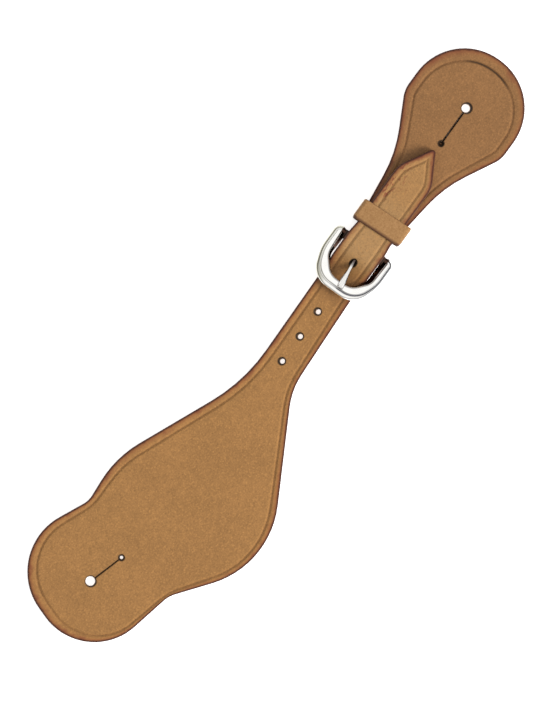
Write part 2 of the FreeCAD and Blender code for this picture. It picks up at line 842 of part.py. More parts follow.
def draw_curl(sketch, reach):
    """The tongue from the side: a shank over the bar that runs into an almost closed eye."""
    curl = []
    for radius in (EYE_OUTER, EYE_INNER):
        circle = Part.Circle(V(0, 0, 0), V(0, 0, 1), radius.number)
        arc = sketch.addGeometry(Part.ArcOfCircle(circle, math.pi, 2.5 * math.pi))
        curl.append(arc)
        pin(sketch, arc, 3, ZERO, ZERO)
        set_radius(sketch, arc, radius)
        sketch.addConstraint(Sketcher.Constraint("PointOnObject", arc, 2, -2))
        sketch.addConstraint(Sketcher.Constraint("PointOnObject", arc, 1, -1))
    outer_arc, inner_arc = curl
    end = sketch.addGeometry(Part.LineSegment(V(-EYE_OUTER.number, 0, 0),
                                              V(-EYE_INNER.number, 0, 0)))
    sketch.addConstraint(Sketcher.Constraint("Coincident", end, 1, outer_arc, 1))
    sketch.addConstraint(Sketcher.Constraint("Coincident", end, 2, inner_arc, 1))
    top = sketch.addGeometry(Part.LineSegment(V(0, EYE_OUTER.number, 0),
                                              V(-reach.number, EYE_OUTER.number, 0)))
    tip = sketch.addGeometry(Part.LineSegment(V(-reach.number, EYE_OUTER.number, 0),
                                              V(-reach.number, EYE_INNER.number, 0)))
    under = sketch.addGeometry(Part.LineSegment(V(-reach.number, EYE_INNER.number, 0),
                                                V(0, EYE_INNER.number, 0)))
    sketch.addConstraint(Sketcher.Constraint("Coincident", top, 1, outer_arc, 2))
    sketch.addConstraint(Sketcher.Constraint("Coincident", top, 2, tip, 1))
    sketch.addConstraint(Sketcher.Constraint("Coincident", tip, 2, under, 1))
    sketch.addConstraint(Sketcher.Constraint("Coincident", under, 2, inner_arc, 2))
    sketch.addConstraint(Sketcher.Constraint("Horizontal", top))
    sketch.addConstraint(Sketcher.Constraint("Vertical", tip))
    sketch.addConstraint(Sketcher.Constraint("Horizontal", under))
    rule = Sketcher.Constraint("DistanceX", tip, 1, -1, 1, reach.number)
    bind(sketch, f"Constraints[{sketch.addConstraint(rule)}]", reach)


# ---------------------------------------------------------------- assembly

def frame_tilt():
    """The buckle lies on the billet, which lifts it where it leaves the opening."""
    rise = (size("dip_height") + size("leather_thick") + size("layer_gap") * 3
            + size("band_thick") * 0.5 - BAR_HEIGHT)
    return math.degrees(math.atan2(rise.number, size("dip_reach").number))


def tongue_tilt():
    """The tongue lies on the top of the crossbar."""
    rise = size("band_thick") * 0.5 + size("tongue_rest_gap") - EYE_INNER
    return frame_tilt() + math.degrees(math.atan2(rise.number, size("inner_reach").number))


billet_strap = build_billet(tongue_tilt())
buckle_strap = build_buckle_strap()
keeper_loop = build_keeper()
keeper_staple = build_staple()
stitch_rows = [build_stitch_row("stitch_row_left", 1), build_stitch_row("stitch_row_right", -1)]
buckle_frame = build_frame()
buckle_tongue = build_tongue()
doc.recompute()

bar_centre = V(0, 0, BAR_HEIGHT.number)
seats = {
    billet_strap: FreeCAD.Placement(),
    buckle_strap: FreeCAD.Placement(),
    keeper_loop: FreeCAD.Placement(),
    keeper_staple: FreeCAD.Placement(),
    stitch_rows[0]: FreeCAD.Placement(),
    stitch_rows[1]: FreeCAD.Placement(),
    buckle_frame: FreeCAD.Placement(bar_centre, FreeCAD.Rotation(V(0, 1, 0), frame_tilt())),
    buckle_tongue: FreeCAD.Placement(bar_centre, FreeCAD.Rotation(V(0, 1, 0), tongue_tilt())),
}
for piece, seat in seats.items():
    piece.Placement = seat
doc.recompute()


def check_pieces():
    for item in doc.Objects:
        if "Invalid" in item.State or "Error" in item.State:
            raise RuntimeError(f"{item.Name} did not recompute: {item.State}")
    for piece in seats:
        if piece.Shape.isNull() or not piece.Shape.isValid() or len(piece.Shape.Solids) != 1:
            raise RuntimeError(f"{piece.Name} is not one valid solid")


check_pieces()
whole = FreeCAD.BoundBox()
for piece in seats:
    whole.add(piece.Shape.optimalBoundingBox(False))
origin = V((whole.XMin + whole.XMax) / 2, (whole.YMin + whole.YMax) / 2, whole.ZMin)
for piece, seat in seats.items():
    piece.Placement = FreeCAD.Placement(seat.Base - origin, seat.Rotation)
doc.recompute()
check_pieces()

os.makedirs("parts", exist_ok=True)
for piece in seats:
    piece.Label = piece.Name
    piece.Shape.exportStep(f"parts/{piece.Label}.step")
    print(f"{piece.Label}: {piece.Shape.Volume:.1f} mm3")
print("bar at", bar_centre - origin, "tilts", frame_tilt(), tongue_tilt())
print("box", whole.XLength, whole.YLength, whole.ZLength)
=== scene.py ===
import json
import math
from types import SimpleNamespace

import bmesh
import bpy
from bpy.props import FloatProperty, FloatVectorProperty, PointerProperty
from mathutils import Matrix, Vector


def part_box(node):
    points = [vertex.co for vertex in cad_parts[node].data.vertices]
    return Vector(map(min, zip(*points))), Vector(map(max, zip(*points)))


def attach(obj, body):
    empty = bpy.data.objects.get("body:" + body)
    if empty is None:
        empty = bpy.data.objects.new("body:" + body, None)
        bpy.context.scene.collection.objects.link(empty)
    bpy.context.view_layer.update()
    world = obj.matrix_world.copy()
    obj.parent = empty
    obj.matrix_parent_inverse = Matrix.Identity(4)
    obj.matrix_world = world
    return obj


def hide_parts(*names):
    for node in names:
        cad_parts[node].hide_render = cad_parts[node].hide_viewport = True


# A western spur strap, buckled: a long billet strap that ends in a two-lobed wing, a buckle
# strap folded round the heel bar of a bright buckle, a tongue and a loose keeper.  The pieces
# are drawn about the buckle's bar, in millimetres, and moved to their place at the end: x
# runs along the strap, the wing is at -x and the lobe at +x, and z = 0 is the floor.

bl_info = {
    "name": "Spur Strap Maker",
    "version": (1, 0, 0),
    "blender": (4, 5, 0),
    "location": "View3D > Sidebar > Spur Strap",
    "description": "Makes a buckled western spur strap with its leather, thread and metal finishes",
    "category": "Add Mesh",
}

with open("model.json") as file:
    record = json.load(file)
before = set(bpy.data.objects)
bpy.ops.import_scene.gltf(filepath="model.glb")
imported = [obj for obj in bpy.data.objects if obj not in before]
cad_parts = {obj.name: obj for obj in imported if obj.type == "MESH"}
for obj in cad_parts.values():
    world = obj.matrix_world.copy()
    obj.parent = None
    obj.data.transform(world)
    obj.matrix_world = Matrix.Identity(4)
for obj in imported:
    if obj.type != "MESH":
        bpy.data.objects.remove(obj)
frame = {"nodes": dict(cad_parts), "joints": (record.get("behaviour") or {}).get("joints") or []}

MM = 0.001
UP = Vector((0, 0, 1))
RIGHT_ANGLE = math.pi / 2
SHARP = math.radians(50)
ARC_STEP = math.radians(5)
KEYHOLE_STEPS = 28
OVAL_STEPS = 36
BAR_STEPS = 12

# The values that each point carries for the finishes.  hole, crease and shade carry painted shade
# and painted reflection, and stain also carries painted shade on the keeper.
VALUES = ("edge", "crease", "hole", "flesh", "stain", "rub", "shade", "pale")

# How near counts as the same place, in millimetres.
SAME_POINT = 2e-3
NO_LENGTH = 1e-3
ON_CUT = 1e-4

# Small gaps between pieces, in millimetres.
BAR_FIT = 0.1       # between the bar and the fold round it
EYE_FIT = 0.08      # between the bar and the tongue's curl
SLOT_FIT = 0.3      # beside the tongue in the slot of the fold
REST_GAP = 0.12     # between the tongue and the crossbar it rests on
BAND_FIT = 0.75     # between the buckle and the billet below it
ROW_INSET = 0.45    # between the ends of a stitch row and its thread
PLY_GAP = 0.04      # half the gap between the strap and its return
FLOOR_GAP = 0.05    # between the leather and the floor

# The way of the billet and the buckle strap, in millimetres from the bar.
BILLET_END = 250
RISE_START = 50     # the billet starts to rise from the table
BEND_REACH = 15     # it turns up more steeply
BEND_HEIGHT = 1.8   # from this height
CREST_REACH = 4.5   # it lies on the fold from here
STACK_END = 24      # the fold's return ends
TIP_REACH = 58.1
TIP_DROP = 4.6      # how far the tip leans down
SKIVE_START = 18.8  # the return thins from here
SKIVE_EDGE = 0.5    # to this thickness
LANDING = 46        # the buckle strap comes down to the table
BEND_SKEW = 0.34    # its grain side bends this much later
LINE_START = -5     # the side lines of the buckle strap
LINE_END = 115


def bar_centre():
    """The middle of the buckle's heel bar, in metres."""
    hinge = next(joint for joint in frame["joints"] if joint["name"] == "frame_hinge")
    return Vector(hinge["pos_m"])


# ---------------------------------------------------------------- sizes and colours

def length(name, description, millimetres):
    return FloatProperty(name=name, description=description, default=millimetres * MM,
                         unit="LENGTH", precision=5)


def corner(name, description, reach, side, rounding):
    place = "Along the strap from the bar, across it, and the rounding: "
    return FloatVectorProperty(name=name, description=place + description, size=3,
                               default=(reach * MM, side * MM, rounding * MM), unit="LENGTH",
                               precision=5)


def colour(name, description, red, green, blue):
    return FloatVectorProperty(name=name, description=description, size=3, subtype="COLOR",
                               min=0, max=1, default=(red, green, blue))


class LeatherSizes(bpy.types.PropertyGroup):
    thick: length("Leather thickness", "Thickness of both straps", 3.4)
    tip: corner("Tip", "the blunt point of the billet", 56.1, 0, 1.4)
    tip_shoulder: corner("Tip shoulder", "where the billet starts to taper", 39.4, 9.5, 14)
    neck: corner("Neck", "where the billet starts to widen", -25, 9.5, 150)
    top_flare: corner("Upper flare", "the neck's upper side", -83.5, 8.6, 82)
    top_shoulder: corner("Upper shoulder", "the wing's upper shoulder", -147, 36.3, 52)
    top_waist: corner("Upper waist", "the dip before the upper lobe", -170.5, 34.5, 11)
    top_lobe: corner("Upper lobe", "the round upper lobe of the wing", -214, 54.7, 29)
    low_lobe: corner("Far end", "the far end of the wing", -236, -10.5, 28)
    low_waist: corner("Lower waist", "the dip before the lower lobe", -184.7, -21.5, 14.5)
    low_shoulder: corner("Lower lobe", "the round lower lobe of the wing", -145.6, -51.5, 43)
    low_flare: corner("Lower flare", "the neck's lower side", -73.6, -11.6, 35)
    billet_crease: length("Billet crease inset", "Crease line in from the billet's edge", 3.5)
    strap_half: length("Strap half width", "Half the width of the buckle strap", 9.6)
    fold_half: length("Fold half width", "Half the width of the fold round the bar", 11.1)
    strap_widen: length("Strap widening", "Where the buckle strap starts to widen", 8)
    strap_flare: corner("Strap flare", "where the buckle strap flares", 43.5, 13.8, 62)
    strap_shoulder: corner("Strap shoulder", "where the lobe starts", 69.8, 27.7, 13.4)
    lobe: corner("Lobe", "the round end of the buckle strap", 106.7, 27.7, 27.3)
    lobe_crease: length("Lobe crease inset", "Crease line in from the lobe's edge", 4.6)
    lobe_crease_end: length("Lobe crease at the end", "How much deeper it lies at the end", 1.4)
    crease_deep: length("Crease depth", "Depth of the crease line", 0.5)


class HoleSizes(bpy.types.PropertyGroup):
    punch_round: length("Punched hole radius", "Radius of the four open billet holes", 1.75)
    punch_first: length("First hole", "From the bar to the first open hole", 23.1)
    punch_pitch: length("Hole spacing", "From one billet hole to the next", 14.17)
    button_round: length("Button hole radius", "Radius of the holes for the buttons", 2.5)
    stop_round: length("Stop hole radius", "Radius of the hole at the slit's end", 1.4)
    slit_width: length("Slit width", "Width of the slit between them", 0.45)
    wing_button: corner("Wing button hole", "its middle, and no rounding", -200.2, 11.9, 0)
    wing_stop: corner("Wing stop hole", "its middle, and no rounding", -183.0, 6.8, 0)
    lobe_button: length("Lobe button hole", "From the bar to the lobe's button hole", 79.2)
    lobe_stop: length("Lobe stop hole", "From the bar to the lobe's stop hole", 58.9)


class BuckleSizes(bpy.types.PropertyGroup):
    bar_round: length("Bar radius", "Radius of the heel bar", 1.4)
    band_thick: length("Band thickness", "Thickness of the buckle's band", 3.0)
    front: corner("Front corner", "outer corner of the crossbar", -26.0, 11.5, 11.4)
    rail: corner("Rail", "outer side of the rail", -12.4, 16.4, 21)
    heel: corner("Heel", "outer end of the heel", 1.7, 16.4, 3.4)
    inner: corner("Inner front corner", "inner corner of the crossbar", -20.4, 5.5, 6.6)
    inner_rail: corner("Inner rail", "inner side of the rail", -12.5, 11.8, 6.3)
    tongue_reach: length("Tongue length", "From the bar to the tongue's end", 23.6)
    tongue_thick: length("Tongue thickness", "Thickness of the tongue", 1.6)
    tongue_root: length("Tongue width at the root", "Width where it leaves the curl", 1.7)
    tongue_tip: length("Tongue width at the tip", "Width of its blunt end", 3.2)
    eye_width: length("Curl width", "Width of the curl round the bar", 3.4)


class KeeperSizes(bpy.types.PropertyGroup):
    reach: length("Keeper place", "From the bar to the middle of the keeper", 13.2)
    width: length("Keeper width", "Width of the keeper along the strap", 10.4)
    thick: length("Keeper thickness", "Thickness of the keeper's leather", 1.6)
    half: length("Keeper half opening", "Half the opening across the strap", 11.24)
    rounding: length("Keeper corner", "Rounding of its outer corners", 2.0)
    skew: FloatProperty(name="Keeper skew", description="How far it has turned on the strap",
                        default=math.radians(2.5), subtype="ANGLE")


class StrapColours(bpy.types.PropertyGroup):
    tan: colour("Tan", "Main colour of the leather", 0.272, 0.135, 0.045)
    lobe_tan: colour("Lobe tan", "Main colour of the buckle strap", 0.217, 0.106, 0.040)
    tan_dark: colour("Deep tan", "Darker patches of the leather", 0.195, 0.090, 0.028)
    tan_light: colour("Light tan", "Paler patches of the leather", 0.36, 0.195, 0.082)
    rim: colour("Rim tan", "Leather between the crease and the edge", 0.29, 0.115, 0.036)
    burnish: colour("Burnished edge", "Cut and burnished edges", 0.05, 0.016, 0.010)
    stain: colour("Stain", "Red-brown dye near edges", 0.15, 0.04, 0.02)
    # Painted shade: darkens the billet where it dips under the buckle's crossbar.
    shade: colour("Bend", "Darkened leather where the billet bends", 0.13, 0.06, 0.024)
    # Painted shade: the near-black of the holes' sides, of the fold's sides inside the buckle and
    # of the deep cut at the lobe's end.
    hole: colour("Hole", "Sides of the holes", 0.022, 0.014, 0.009)
    flesh: colour("Flesh side", "The rough underside of the leather", 0.42, 0.25, 0.13)
    pale: colour("Lightened leather", "The billet where it is handled", 0.335, 0.205, 0.092)
    keeper: colour("Keeper tan", "Main colour of the keeper", 0.275, 0.146, 0.055)
    thread: colour("Thread", "The waxed thread of the fold", 0.33, 0.20, 0.10)
    nickel: colour("Nickel", "The buckle's plating", 0.95, 0.945, 0.93)


# ---------------------------------------------------------------- outlines

def in_mm(group):
    """A group's sizes: its lengths in millimetres, a corner as its three, an angle as it is."""
    sizes = SimpleNamespace()
    for name in group.__annotations__:
        value = getattr(group, name)
        if group.bl_rna.properties[name].unit == "LENGTH":
            value = value / MM if isinstance(value, float) else tuple(part / MM for part in value)
        setattr(sizes, name, value)
    return sizes


def mirrored(corners):
    """The corners across the strap, in the opposite order."""
    return [(x, -y, rounding) for x, y, rounding in reversed(corners)]


def rectangle(left, right, low, high, rounding):
    """The corners of a rectangle, going round to the left."""
    return [(right, low, rounding), (right, high, rounding),
            (left, high, rounding), (left, low, rounding)]


def turn_at(corners, i):
    """The way into a corner and the angle it turns by."""
    before, here, after = (Vector(corners[j % len(corners)][:2]) for j in (i - 1, i, i + 1))
    into = (here - before).normalized()
    out = (after - here).normalized()
    return into, math.atan2(into.cross(out), into.dot(out))


def arc_at(corners, i):
    """The arc that rounds a corner: its start, its centre, the way to its left and its angle."""
    x, y, rounding = corners[i]
    into, turn = turn_at(corners, i)
    side = Vector((-into.y, into.x))
    start = Vector((x, y)) - into * (rounding * math.tan(abs(turn) / 2))
    return start, start + side * math.copysign(rounding, turn), side, turn


def inset_corners(corners, distance):
    """The corners of the outline that runs a distance inside.  The outline goes round to the
    left; the rounding of a left turn shrinks and that of a right turn grows."""
    moved = []
    for i, (x, y, rounding) in enumerate(corners):
        into, turn = turn_at(corners, i)
        along = distance * math.tan(turn / 2)
        rounding = max(rounding - math.copysign(distance, turn), 0.02)
        moved.append((x - into.y * distance - into.x * along,
                      y + into.x * distance - into.y * along, rounding))
    return moved


def spin_arc(mesh, start, centre, height, angle, steps):
    """Spins one point about a centre.  Returns its points in order."""
    arc = [mesh.verts.new(start.to_3d() + UP * height)]
    spun = bmesh.ops.spin(mesh, geom=[arc[0]], cent=centre.to_3d() + UP * height, axis=UP,
                          angle=angle, steps=steps, use_merge=False)
    last = next(part for part in spun["geom_last"] if isinstance(part, bmesh.types.BMVert))
    while arc[-1] is not last:
        beside = [link.other_vert(arc[-1]) for link in arc[-1].link_edges]
        arc.append(next(vert for vert in beside if vert not in arc[-2:]))
    return arc


def join_arcs(mesh, arcs):
    """Joins arcs by straight runs into one ring.  Returns the ring's points in order."""
    for i, arc in enumerate(arcs):
        mesh.edges.new((arcs[i - 1][-1], arc[0]))
    return [vert for arc in arcs for vert in arc]


def arc_steps(corners):
    """How many steps the arc of each corner takes."""
    return [max(2, round(abs(turn_at(corners, i)[1]) / ARC_STEP)) for i in range(len(corners))]


def draw_ring(mesh, corners, height=0.0, steps=None):
    """A ring of points with rounded corners: each corner is spun, and straight runs join them."""
    arcs = []
    for i, count in enumerate(steps or arc_steps(corners)):
        start, centre, _, turn = arc_at(corners, i)
        arcs.append(spin_arc(mesh, start, centre, height, turn, count))
    return join_arcs(mesh, arcs)


def draw_keyhole(mesh, button, stop, radii, half_slit, height):
    """A ring of points round a button hole, its slit and the stop hole at the slit's end."""
    along = (stop - button).normalized()
    arcs = []
    for centre, way, radius in ((button, along, radii[0]), (stop, -along, radii[1])):
        opening = math.asin(min(half_slit / radius, 0.95))
        start = Matrix.Rotation(opening, 2) @ way * radius + centre
        arcs.append(spin_arc(mesh, start, centre, height, 2 * (math.pi - opening),
                             KEYHOLE_STEPS))
    return join_arcs(mesh, arcs)


def draw_oval(mesh, centre, half_long, half_wide, height):
    """A ring of points round an oval."""
    ring = bmesh.ops.create_circle(mesh, segments=OVAL_STEPS, radius=1)["verts"]
    bmesh.ops.scale(mesh, verts=ring, vec=(half_long, half_wide, 1))
    bmesh.ops.translate(mesh, verts=ring, vec=(centre[0], centre[1], height))
    return ring


def ring_edges(mesh, ring):
    """The edges between the points of a ring."""
    return [mesh.edges.get((ring[i - 1], vert)) for i, vert in enumerate(ring)]


def grow_ring(mesh, ring, section, **values):
    """Extrudes a ring and moves the new one to the places of a section, (draw, its sizes ...).
    Returns the new ring."""
    draw, *sizes = section
    scratch = bmesh.new()
    places = [vert.co.copy() for vert in draw(scratch, *sizes)]
    scratch.free()
    made = bmesh.ops.extrude_edge_only(mesh, edges=ring_edges(mesh, ring))["geom"]
    fresh = {part for part in made if isinstance(part, bmesh.types.BMVert)}
    grown = []
    for vert, place in zip(ring, places, strict=True):
        beside = (link.other_vert(vert) for link in vert.link_edges)
        grown.append(next(other for other in beside if other in fresh))
        grown[-1].co = place
    mark(mesh, grown, **values)
    return grown


def layers(mesh, *names):
    """The layers of the named values."""
    return [mesh.verts.layers.float[name] for name in names]


def mark(mesh, ring, **values):
    """Writes named values on the points of a ring."""
    for layer, value in zip(layers(mesh, *values), values.values()):
        for vert in ring:
            vert[layer] = value


def put_in_order(mesh):
    """Makes the edges and faces anew, in the order of their points.  An extrusion makes them in
    an order that changes from run to run, and the cuts and merges that follow depend on it."""
    mesh.verts.index_update()
    ends = sorted(sorted(vert.index for vert in edge.verts) for edge in mesh.edges)
    rounds = sorted(([vert.index for vert in face.verts] for face in mesh.faces), key=sorted)
    bmesh.ops.delete(mesh, geom=mesh.edges[:] + mesh.faces[:], context="EDGES_FACES")
    mesh.verts.ensure_lookup_table()
    for parts, orders in ((mesh.edges, ends), (mesh.faces, rounds)):
        for place, order in enumerate(orders):
            parts.new([mesh.verts[i] for i in order]).index = place
        parts.sort()


# ---------------------------------------------------------------- leather

def slanted(top, under):
    """A hole whose walls slant from an oval on the grain to another one below, each (centre,
    half length, half width).  Like every hole, it draws its ring a little larger or smaller."""
    def draw(mesh, grow, height, below):
        centre, half_long, half_wide = under if below else top
        return draw_oval(mesh, centre, half_long + grow, half_wide + grow, height)
    return draw


def punched(x, y, radius):
    """A round hole that narrows downwards and was punched a little aslant."""
    return slanted(((x, y), radius, radius), ((x + 0.15, y - 0.35), radius * 0.66, radius * 0.6))


def keyhole(button, stop, rounds, below_rounds, slit):
    """A button hole with a slit and a stop hole, a little aslant.  The slit's sides meet below."""
    def draw(mesh, grow, height, below):
        radii, aslant = (below_rounds, (-0.15, 0.25)) if below else (rounds, (0, 0))
        half_slit = 0.004 if below else slit / 2
        return draw_keyhole(mesh, Vector(button) + Vector(aslant), Vector(stop),
                            [radius + grow for radius in radii], half_slit + grow, height)
    return draw


def new_mesh():
    """An empty mesh whose points carry the values."""
    mesh = bmesh.new()
    for name in VALUES:
        mesh.verts.layers.float.new(name)
    return mesh


def edge_rings(corners, deepest):
    """The rounded rim of cut leather, from the outline inwards: each ring has its corners, its
    drop from the face and its values."""
    return [(inset_corners(corners, inset), drop, {"edge": inset})
            for inset, drop in ((0.0, deepest), (0.1, 0.26), (0.3, 0.08), (0.65, 0.0))]


def drifted(corners, drift):
    """The corners, with some moved and rounded more or less: the crease was pressed freehand
    and doesn't follow the edge everywhere."""
    moved = []
    for corner in corners:
        by = drift.get(corner, (0, 0, 0))
        moved.append(tuple(part + change for part, change in zip(corner, by)))
    return moved


def crease_rings(corners, inset, deep):
    """A pressed line inside the edge: a groove with soft sides and painted shade along its bottom.
    """
    steps = ((-0.95, 0.0, 0.0), (-0.8, 0.08, 0.0), (-0.25, 0.9, 0.2), (0.0, 1.0, 1.0),
             (0.25, 0.9, 0.2), (0.8, 0.08, 0.0), (0.95, 0.0, 0.0), (1.4, 0.0, 0.0))
    return [(inset_corners(corners, inset + beside), deep * part,
             {"edge": inset + beside, "crease": dark}) for beside, part, dark in steps]


# The rounded rim of a hole, inwards: how much wider, how far down and how much painted shade.
RIM_STEPS = ((0.75, 0, 0), (0.45, 0.0, 0.1), (0.2, 0.07, 0.75), (0, 0.3, 1))


def build_leather(top_rings, under_rings, holes, thick):
    """Flat leather, grain side up, closed round its edge and through its holes."""
    mesh = new_mesh()
    corners, drop, values = top_rings[0]
    steps = arc_steps(corners)
    outside = draw_ring(mesh, corners, thick - drop, steps)
    mark(mesh, outside, **values)
    top = outside
    for corners, drop, values in top_rings[1:]:
        top = grow_ring(mesh, top, (draw_ring, corners, thick - drop, steps), **values)
    under = outside
    for corners, drop, values in under_rings:
        under = grow_ring(mesh, under, (draw_ring, corners, drop, steps), flesh=1.0, **values)
    top_borders = ring_edges(mesh, top)
    under_borders = ring_edges(mesh, under)
    depth = top_rings[-1][2]["edge"]
    for hole in holes:
        grow, drop, near = RIM_STEPS[0]
        rim = hole(mesh, grow, thick - drop, False)
        mark(mesh, rim, edge=depth, hole=near)
        top_borders += ring_edges(mesh, rim)
        for grow, drop, near in RIM_STEPS[1:]:
            rim = grow_ring(mesh, rim, (hole, grow, thick - drop, False), edge=depth, hole=near)
        for grow, drop, near in reversed(RIM_STEPS):
            rim = grow_ring(mesh, rim, (hole, grow, drop, True), edge=depth, hole=near, flesh=1.0)
        under_borders += ring_edges(mesh, rim)
    for borders, facing in ((top_borders, 1), (under_borders, -1)):
        bmesh.ops.triangle_fill(mesh, use_beauty=True, edges=borders, normal=UP * facing)
    put_in_order(mesh)
    bmesh.ops.recalc_face_normals(mesh, faces=mesh.faces)
    return mesh


def cut_across(mesh, stretches):
    """Cuts the leather across in each stretch, (start, end, gap), so that it can bend there."""
    for start, end, gap in stretches:
        count = round((end - start) / gap)
        for i in range(count + 1):
            place = start + (end - start) * i / count
            bmesh.ops.bisect_plane(mesh, geom=mesh.verts[:] + mesh.edges[:] + mesh.faces[:],
                                   dist=ON_CUT, plane_co=(place, 0, 0), plane_no=(1, 0, 0))


def side_line(corners, lift):
    """The points of a bent layer seen from the side.  corners are (x, z, rounding) with free
    ends, and lift moves the line up from the layer's underside."""
    line = []
    for i, (x, z, _) in enumerate(corners):
        if i in (0, len(corners) - 1):
            run, _ = turn_at(corners, max(i, 1))
            line.append(Vector((x - run.y * lift, z + run.x * lift)))
            continue
        start, centre, side, turn = arc_at(corners, i)
        arm = start + side * lift - centre
        steps = max(2, round(abs(turn) / ARC_STEP * 2))
        for step in range(steps + 1):
            line.append(centre + Matrix.Rotation(turn * step / steps, 2) @ arm)
    return line


def height_on(line, x):
    """The height of a side line at a place along the strap."""
    after = next((i for i, point in enumerate(line) if point.x > x), len(line) - 1)
    before = max(after - 1, 0)
    one, other = line[before], line[after]
    if other.x - one.x < 1e-9:
        return one.y
    part = min(max((x - one.x) / (other.x - one.x), 0), 1)
    return one.y + (other.y - one.y) * part


def ramp(value, low, high):
    """0 at low, 1 at high and smooth between them."""
    part = min(max((value - low) / (high - low), 0), 1)
    return part * part * (3 - 2 * part)


def bend_leather(mesh, thick, place):
    """Moves every point of flat leather to place(along, share), where share is 0 on the
    underside and 1 on the grain."""
    for vert in mesh.verts:
        x, z = place(vert.co.x, vert.co.z / thick)
        vert.co.x = x
        vert.co.z = z


def add_object(name, data):
    """Puts an object with its data in the scene."""
    made = bpy.data.objects.new(name, data)
    bpy.context.scene.collection.objects.link(made)
    return made


def add_mesh(name, mesh, material):
    """Puts a mesh with its material in the scene."""
    data = bpy.data.meshes.new(name)
    mesh.to_mesh(data)
    mesh.free()
    data.materials.append(bpy.data.materials[material])
    return add_object(name, data)


def finish_piece(mesh, name, body, material, nodes, place=None):
    """Makes the piece in metres at its place, with its finish, riding on its body."""
    put_in_order(mesh)
    bmesh.ops.remove_doubles(mesh, verts=mesh.verts, dist=SAME_POINT)
    bmesh.ops.dissolve_degenerate(mesh, edges=mesh.edges, dist=NO_LENGTH)
    bmesh.ops.recalc_face_normals(mesh, faces=mesh.faces)
    if mesh.calc_volume(signed=True) < 0:
        bmesh.ops.reverse_faces(mesh, faces=mesh.faces)
    if place is not None:
        bmesh.ops.transform(mesh, matrix=place, verts=mesh.verts)
    bar = bar_centre()
    bmesh.ops.scale(mesh, verts=mesh.verts, vec=(MM, MM, MM))
    bmesh.ops.translate(mesh, verts=mesh.verts, vec=(bar.x, bar.y, 0))
    for face in mesh.faces:
        face.smooth = True
    for edge in mesh.edges:
        if len(edge.link_faces) == 2:
            edge.smooth = edge.calc_face_angle() < SHARP
    piece = add_mesh(name, mesh, material)
    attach(piece, body)
    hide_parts(*nodes)


def layer_heights():
    """Heights of the layers above the floor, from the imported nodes, in millimetres."""
    return SimpleNamespace(strap_low=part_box("stitch_row_left")[0].z / MM,
                           strap_top=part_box("buckle_strap")[1].z / MM,
                           billet_top=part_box("billet_strap")[1].z / MM,
                           keeper_top=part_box("keeper_loop")[1].z / MM)


WING = ("top_flare", "top_shoulder", "top_waist", "top_lobe", "low_lobe", "low_waist",
        "low_shoulder", "low_flare")
WING_DRIFT = {"top_shoulder": (0, -1.1, 0), "top_waist": (0, 0.9, 9), "top_lobe": (1.4, -1.5, 0),
              "low_waist": (0, -1.9, 9), "low_shoulder": (0, 0.5, 0), "low_flare": (0, -0.9, 0)}
BILLET_BENDS = ((-58.1, -38.1, 4), (-34.1, -16.1, 2), (-15.1, -0.1, 0.6), (1.1, 17.9, 2),
                (18.9, 29.9, 1.5), (35.9, 53.9, 3))


def wear_billet(mesh):
    """Stains the tip, rubs the bends, paints shade under the crossbar and stretches the billet over
    the bar.
    """
    edge, stain, rub, shade, pale = layers(mesh, "edge", "stain", "rub", "shade", "pale")
    for vert in mesh.verts:
        x, y, _ = vert.co
        near_edge = ramp(vert[edge], 1.6, 0.3)
        vert[stain] = max(ramp(x, 52.4, 53.6), near_edge * ramp(x, 34, 42) * 0.8)
        vert[rub] = ramp(x, 20, 26) * ramp(x, 50, 44) * ramp(y, 3, 6)
        # Painted shade where the billet dips under the crossbar.
        vert[shade] = ramp(x, -9, -20) * ramp(x, -33, -24)
        # Paler over the buckle, a little less towards the tip.
        vert[pale] = ramp(x, -14, -5) * (1 - 0.55 * ramp(x, 16, 30))
        vert.co.y += math.copysign(0.6 * ramp(x, -18, -11) * ramp(x, 8, 1) * ramp(abs(y), 3, 9), y)


def make_billet(scene):
    sizes = in_mm(scene.spur_leather)
    holes = in_mm(scene.spur_holes)
    corners = [sizes.tip, sizes.tip_shoulder, sizes.neck]
    corners += [getattr(sizes, name) for name in WING]
    corners += mirrored([sizes.tip_shoulder, sizes.neck])
    pressed = drifted(corners, {getattr(sizes, name): by for name, by in WING_DRIFT.items()})
    top_rings = edge_rings(corners, 0.55)
    top_rings += crease_rings(pressed, sizes.billet_crease, sizes.crease_deep)
    openings = [punched(-holes.punch_first - holes.punch_pitch * i, 0, holes.punch_round)
                for i in range(4)]
    openings.append(keyhole(holes.wing_button[:2], holes.wing_stop[:2],
                            (holes.button_round, holes.stop_round),
                            (holes.button_round * 0.88, 0.75), holes.slit_width * 0.5))
    used_hole = slanted(((-9.6, -0.15), 2.05, 1.6), ((-3.2, 0), 4.0, 2.0))
    openings.append(used_hole)
    mesh = build_leather(top_rings, edge_rings(corners, 0.4), openings, sizes.thick)
    cut_across(mesh, BILLET_BENDS)
    wear_billet(mesh)
    crest = layer_heights().billet_top - sizes.thick
    path = [(-BILLET_END, 0, 0), (-RISE_START, 0, 150), (-BEND_REACH, BEND_HEIGHT, 9),
            (-CREST_REACH, crest, 9), (STACK_END, crest, 40), (TIP_REACH, crest - TIP_DROP, 0)]
    under_line = side_line(path, 0)
    top_line = side_line(path, sizes.thick)

    def place(x, share):
        low = height_on(under_line, x)
        return x, low + (height_on(top_line, x) - low) * share

    bend_leather(mesh, sizes.thick, place)
    finish_piece(mesh, "billet_leather", "billet", "tan_billet",
                 ["billet_strap"])


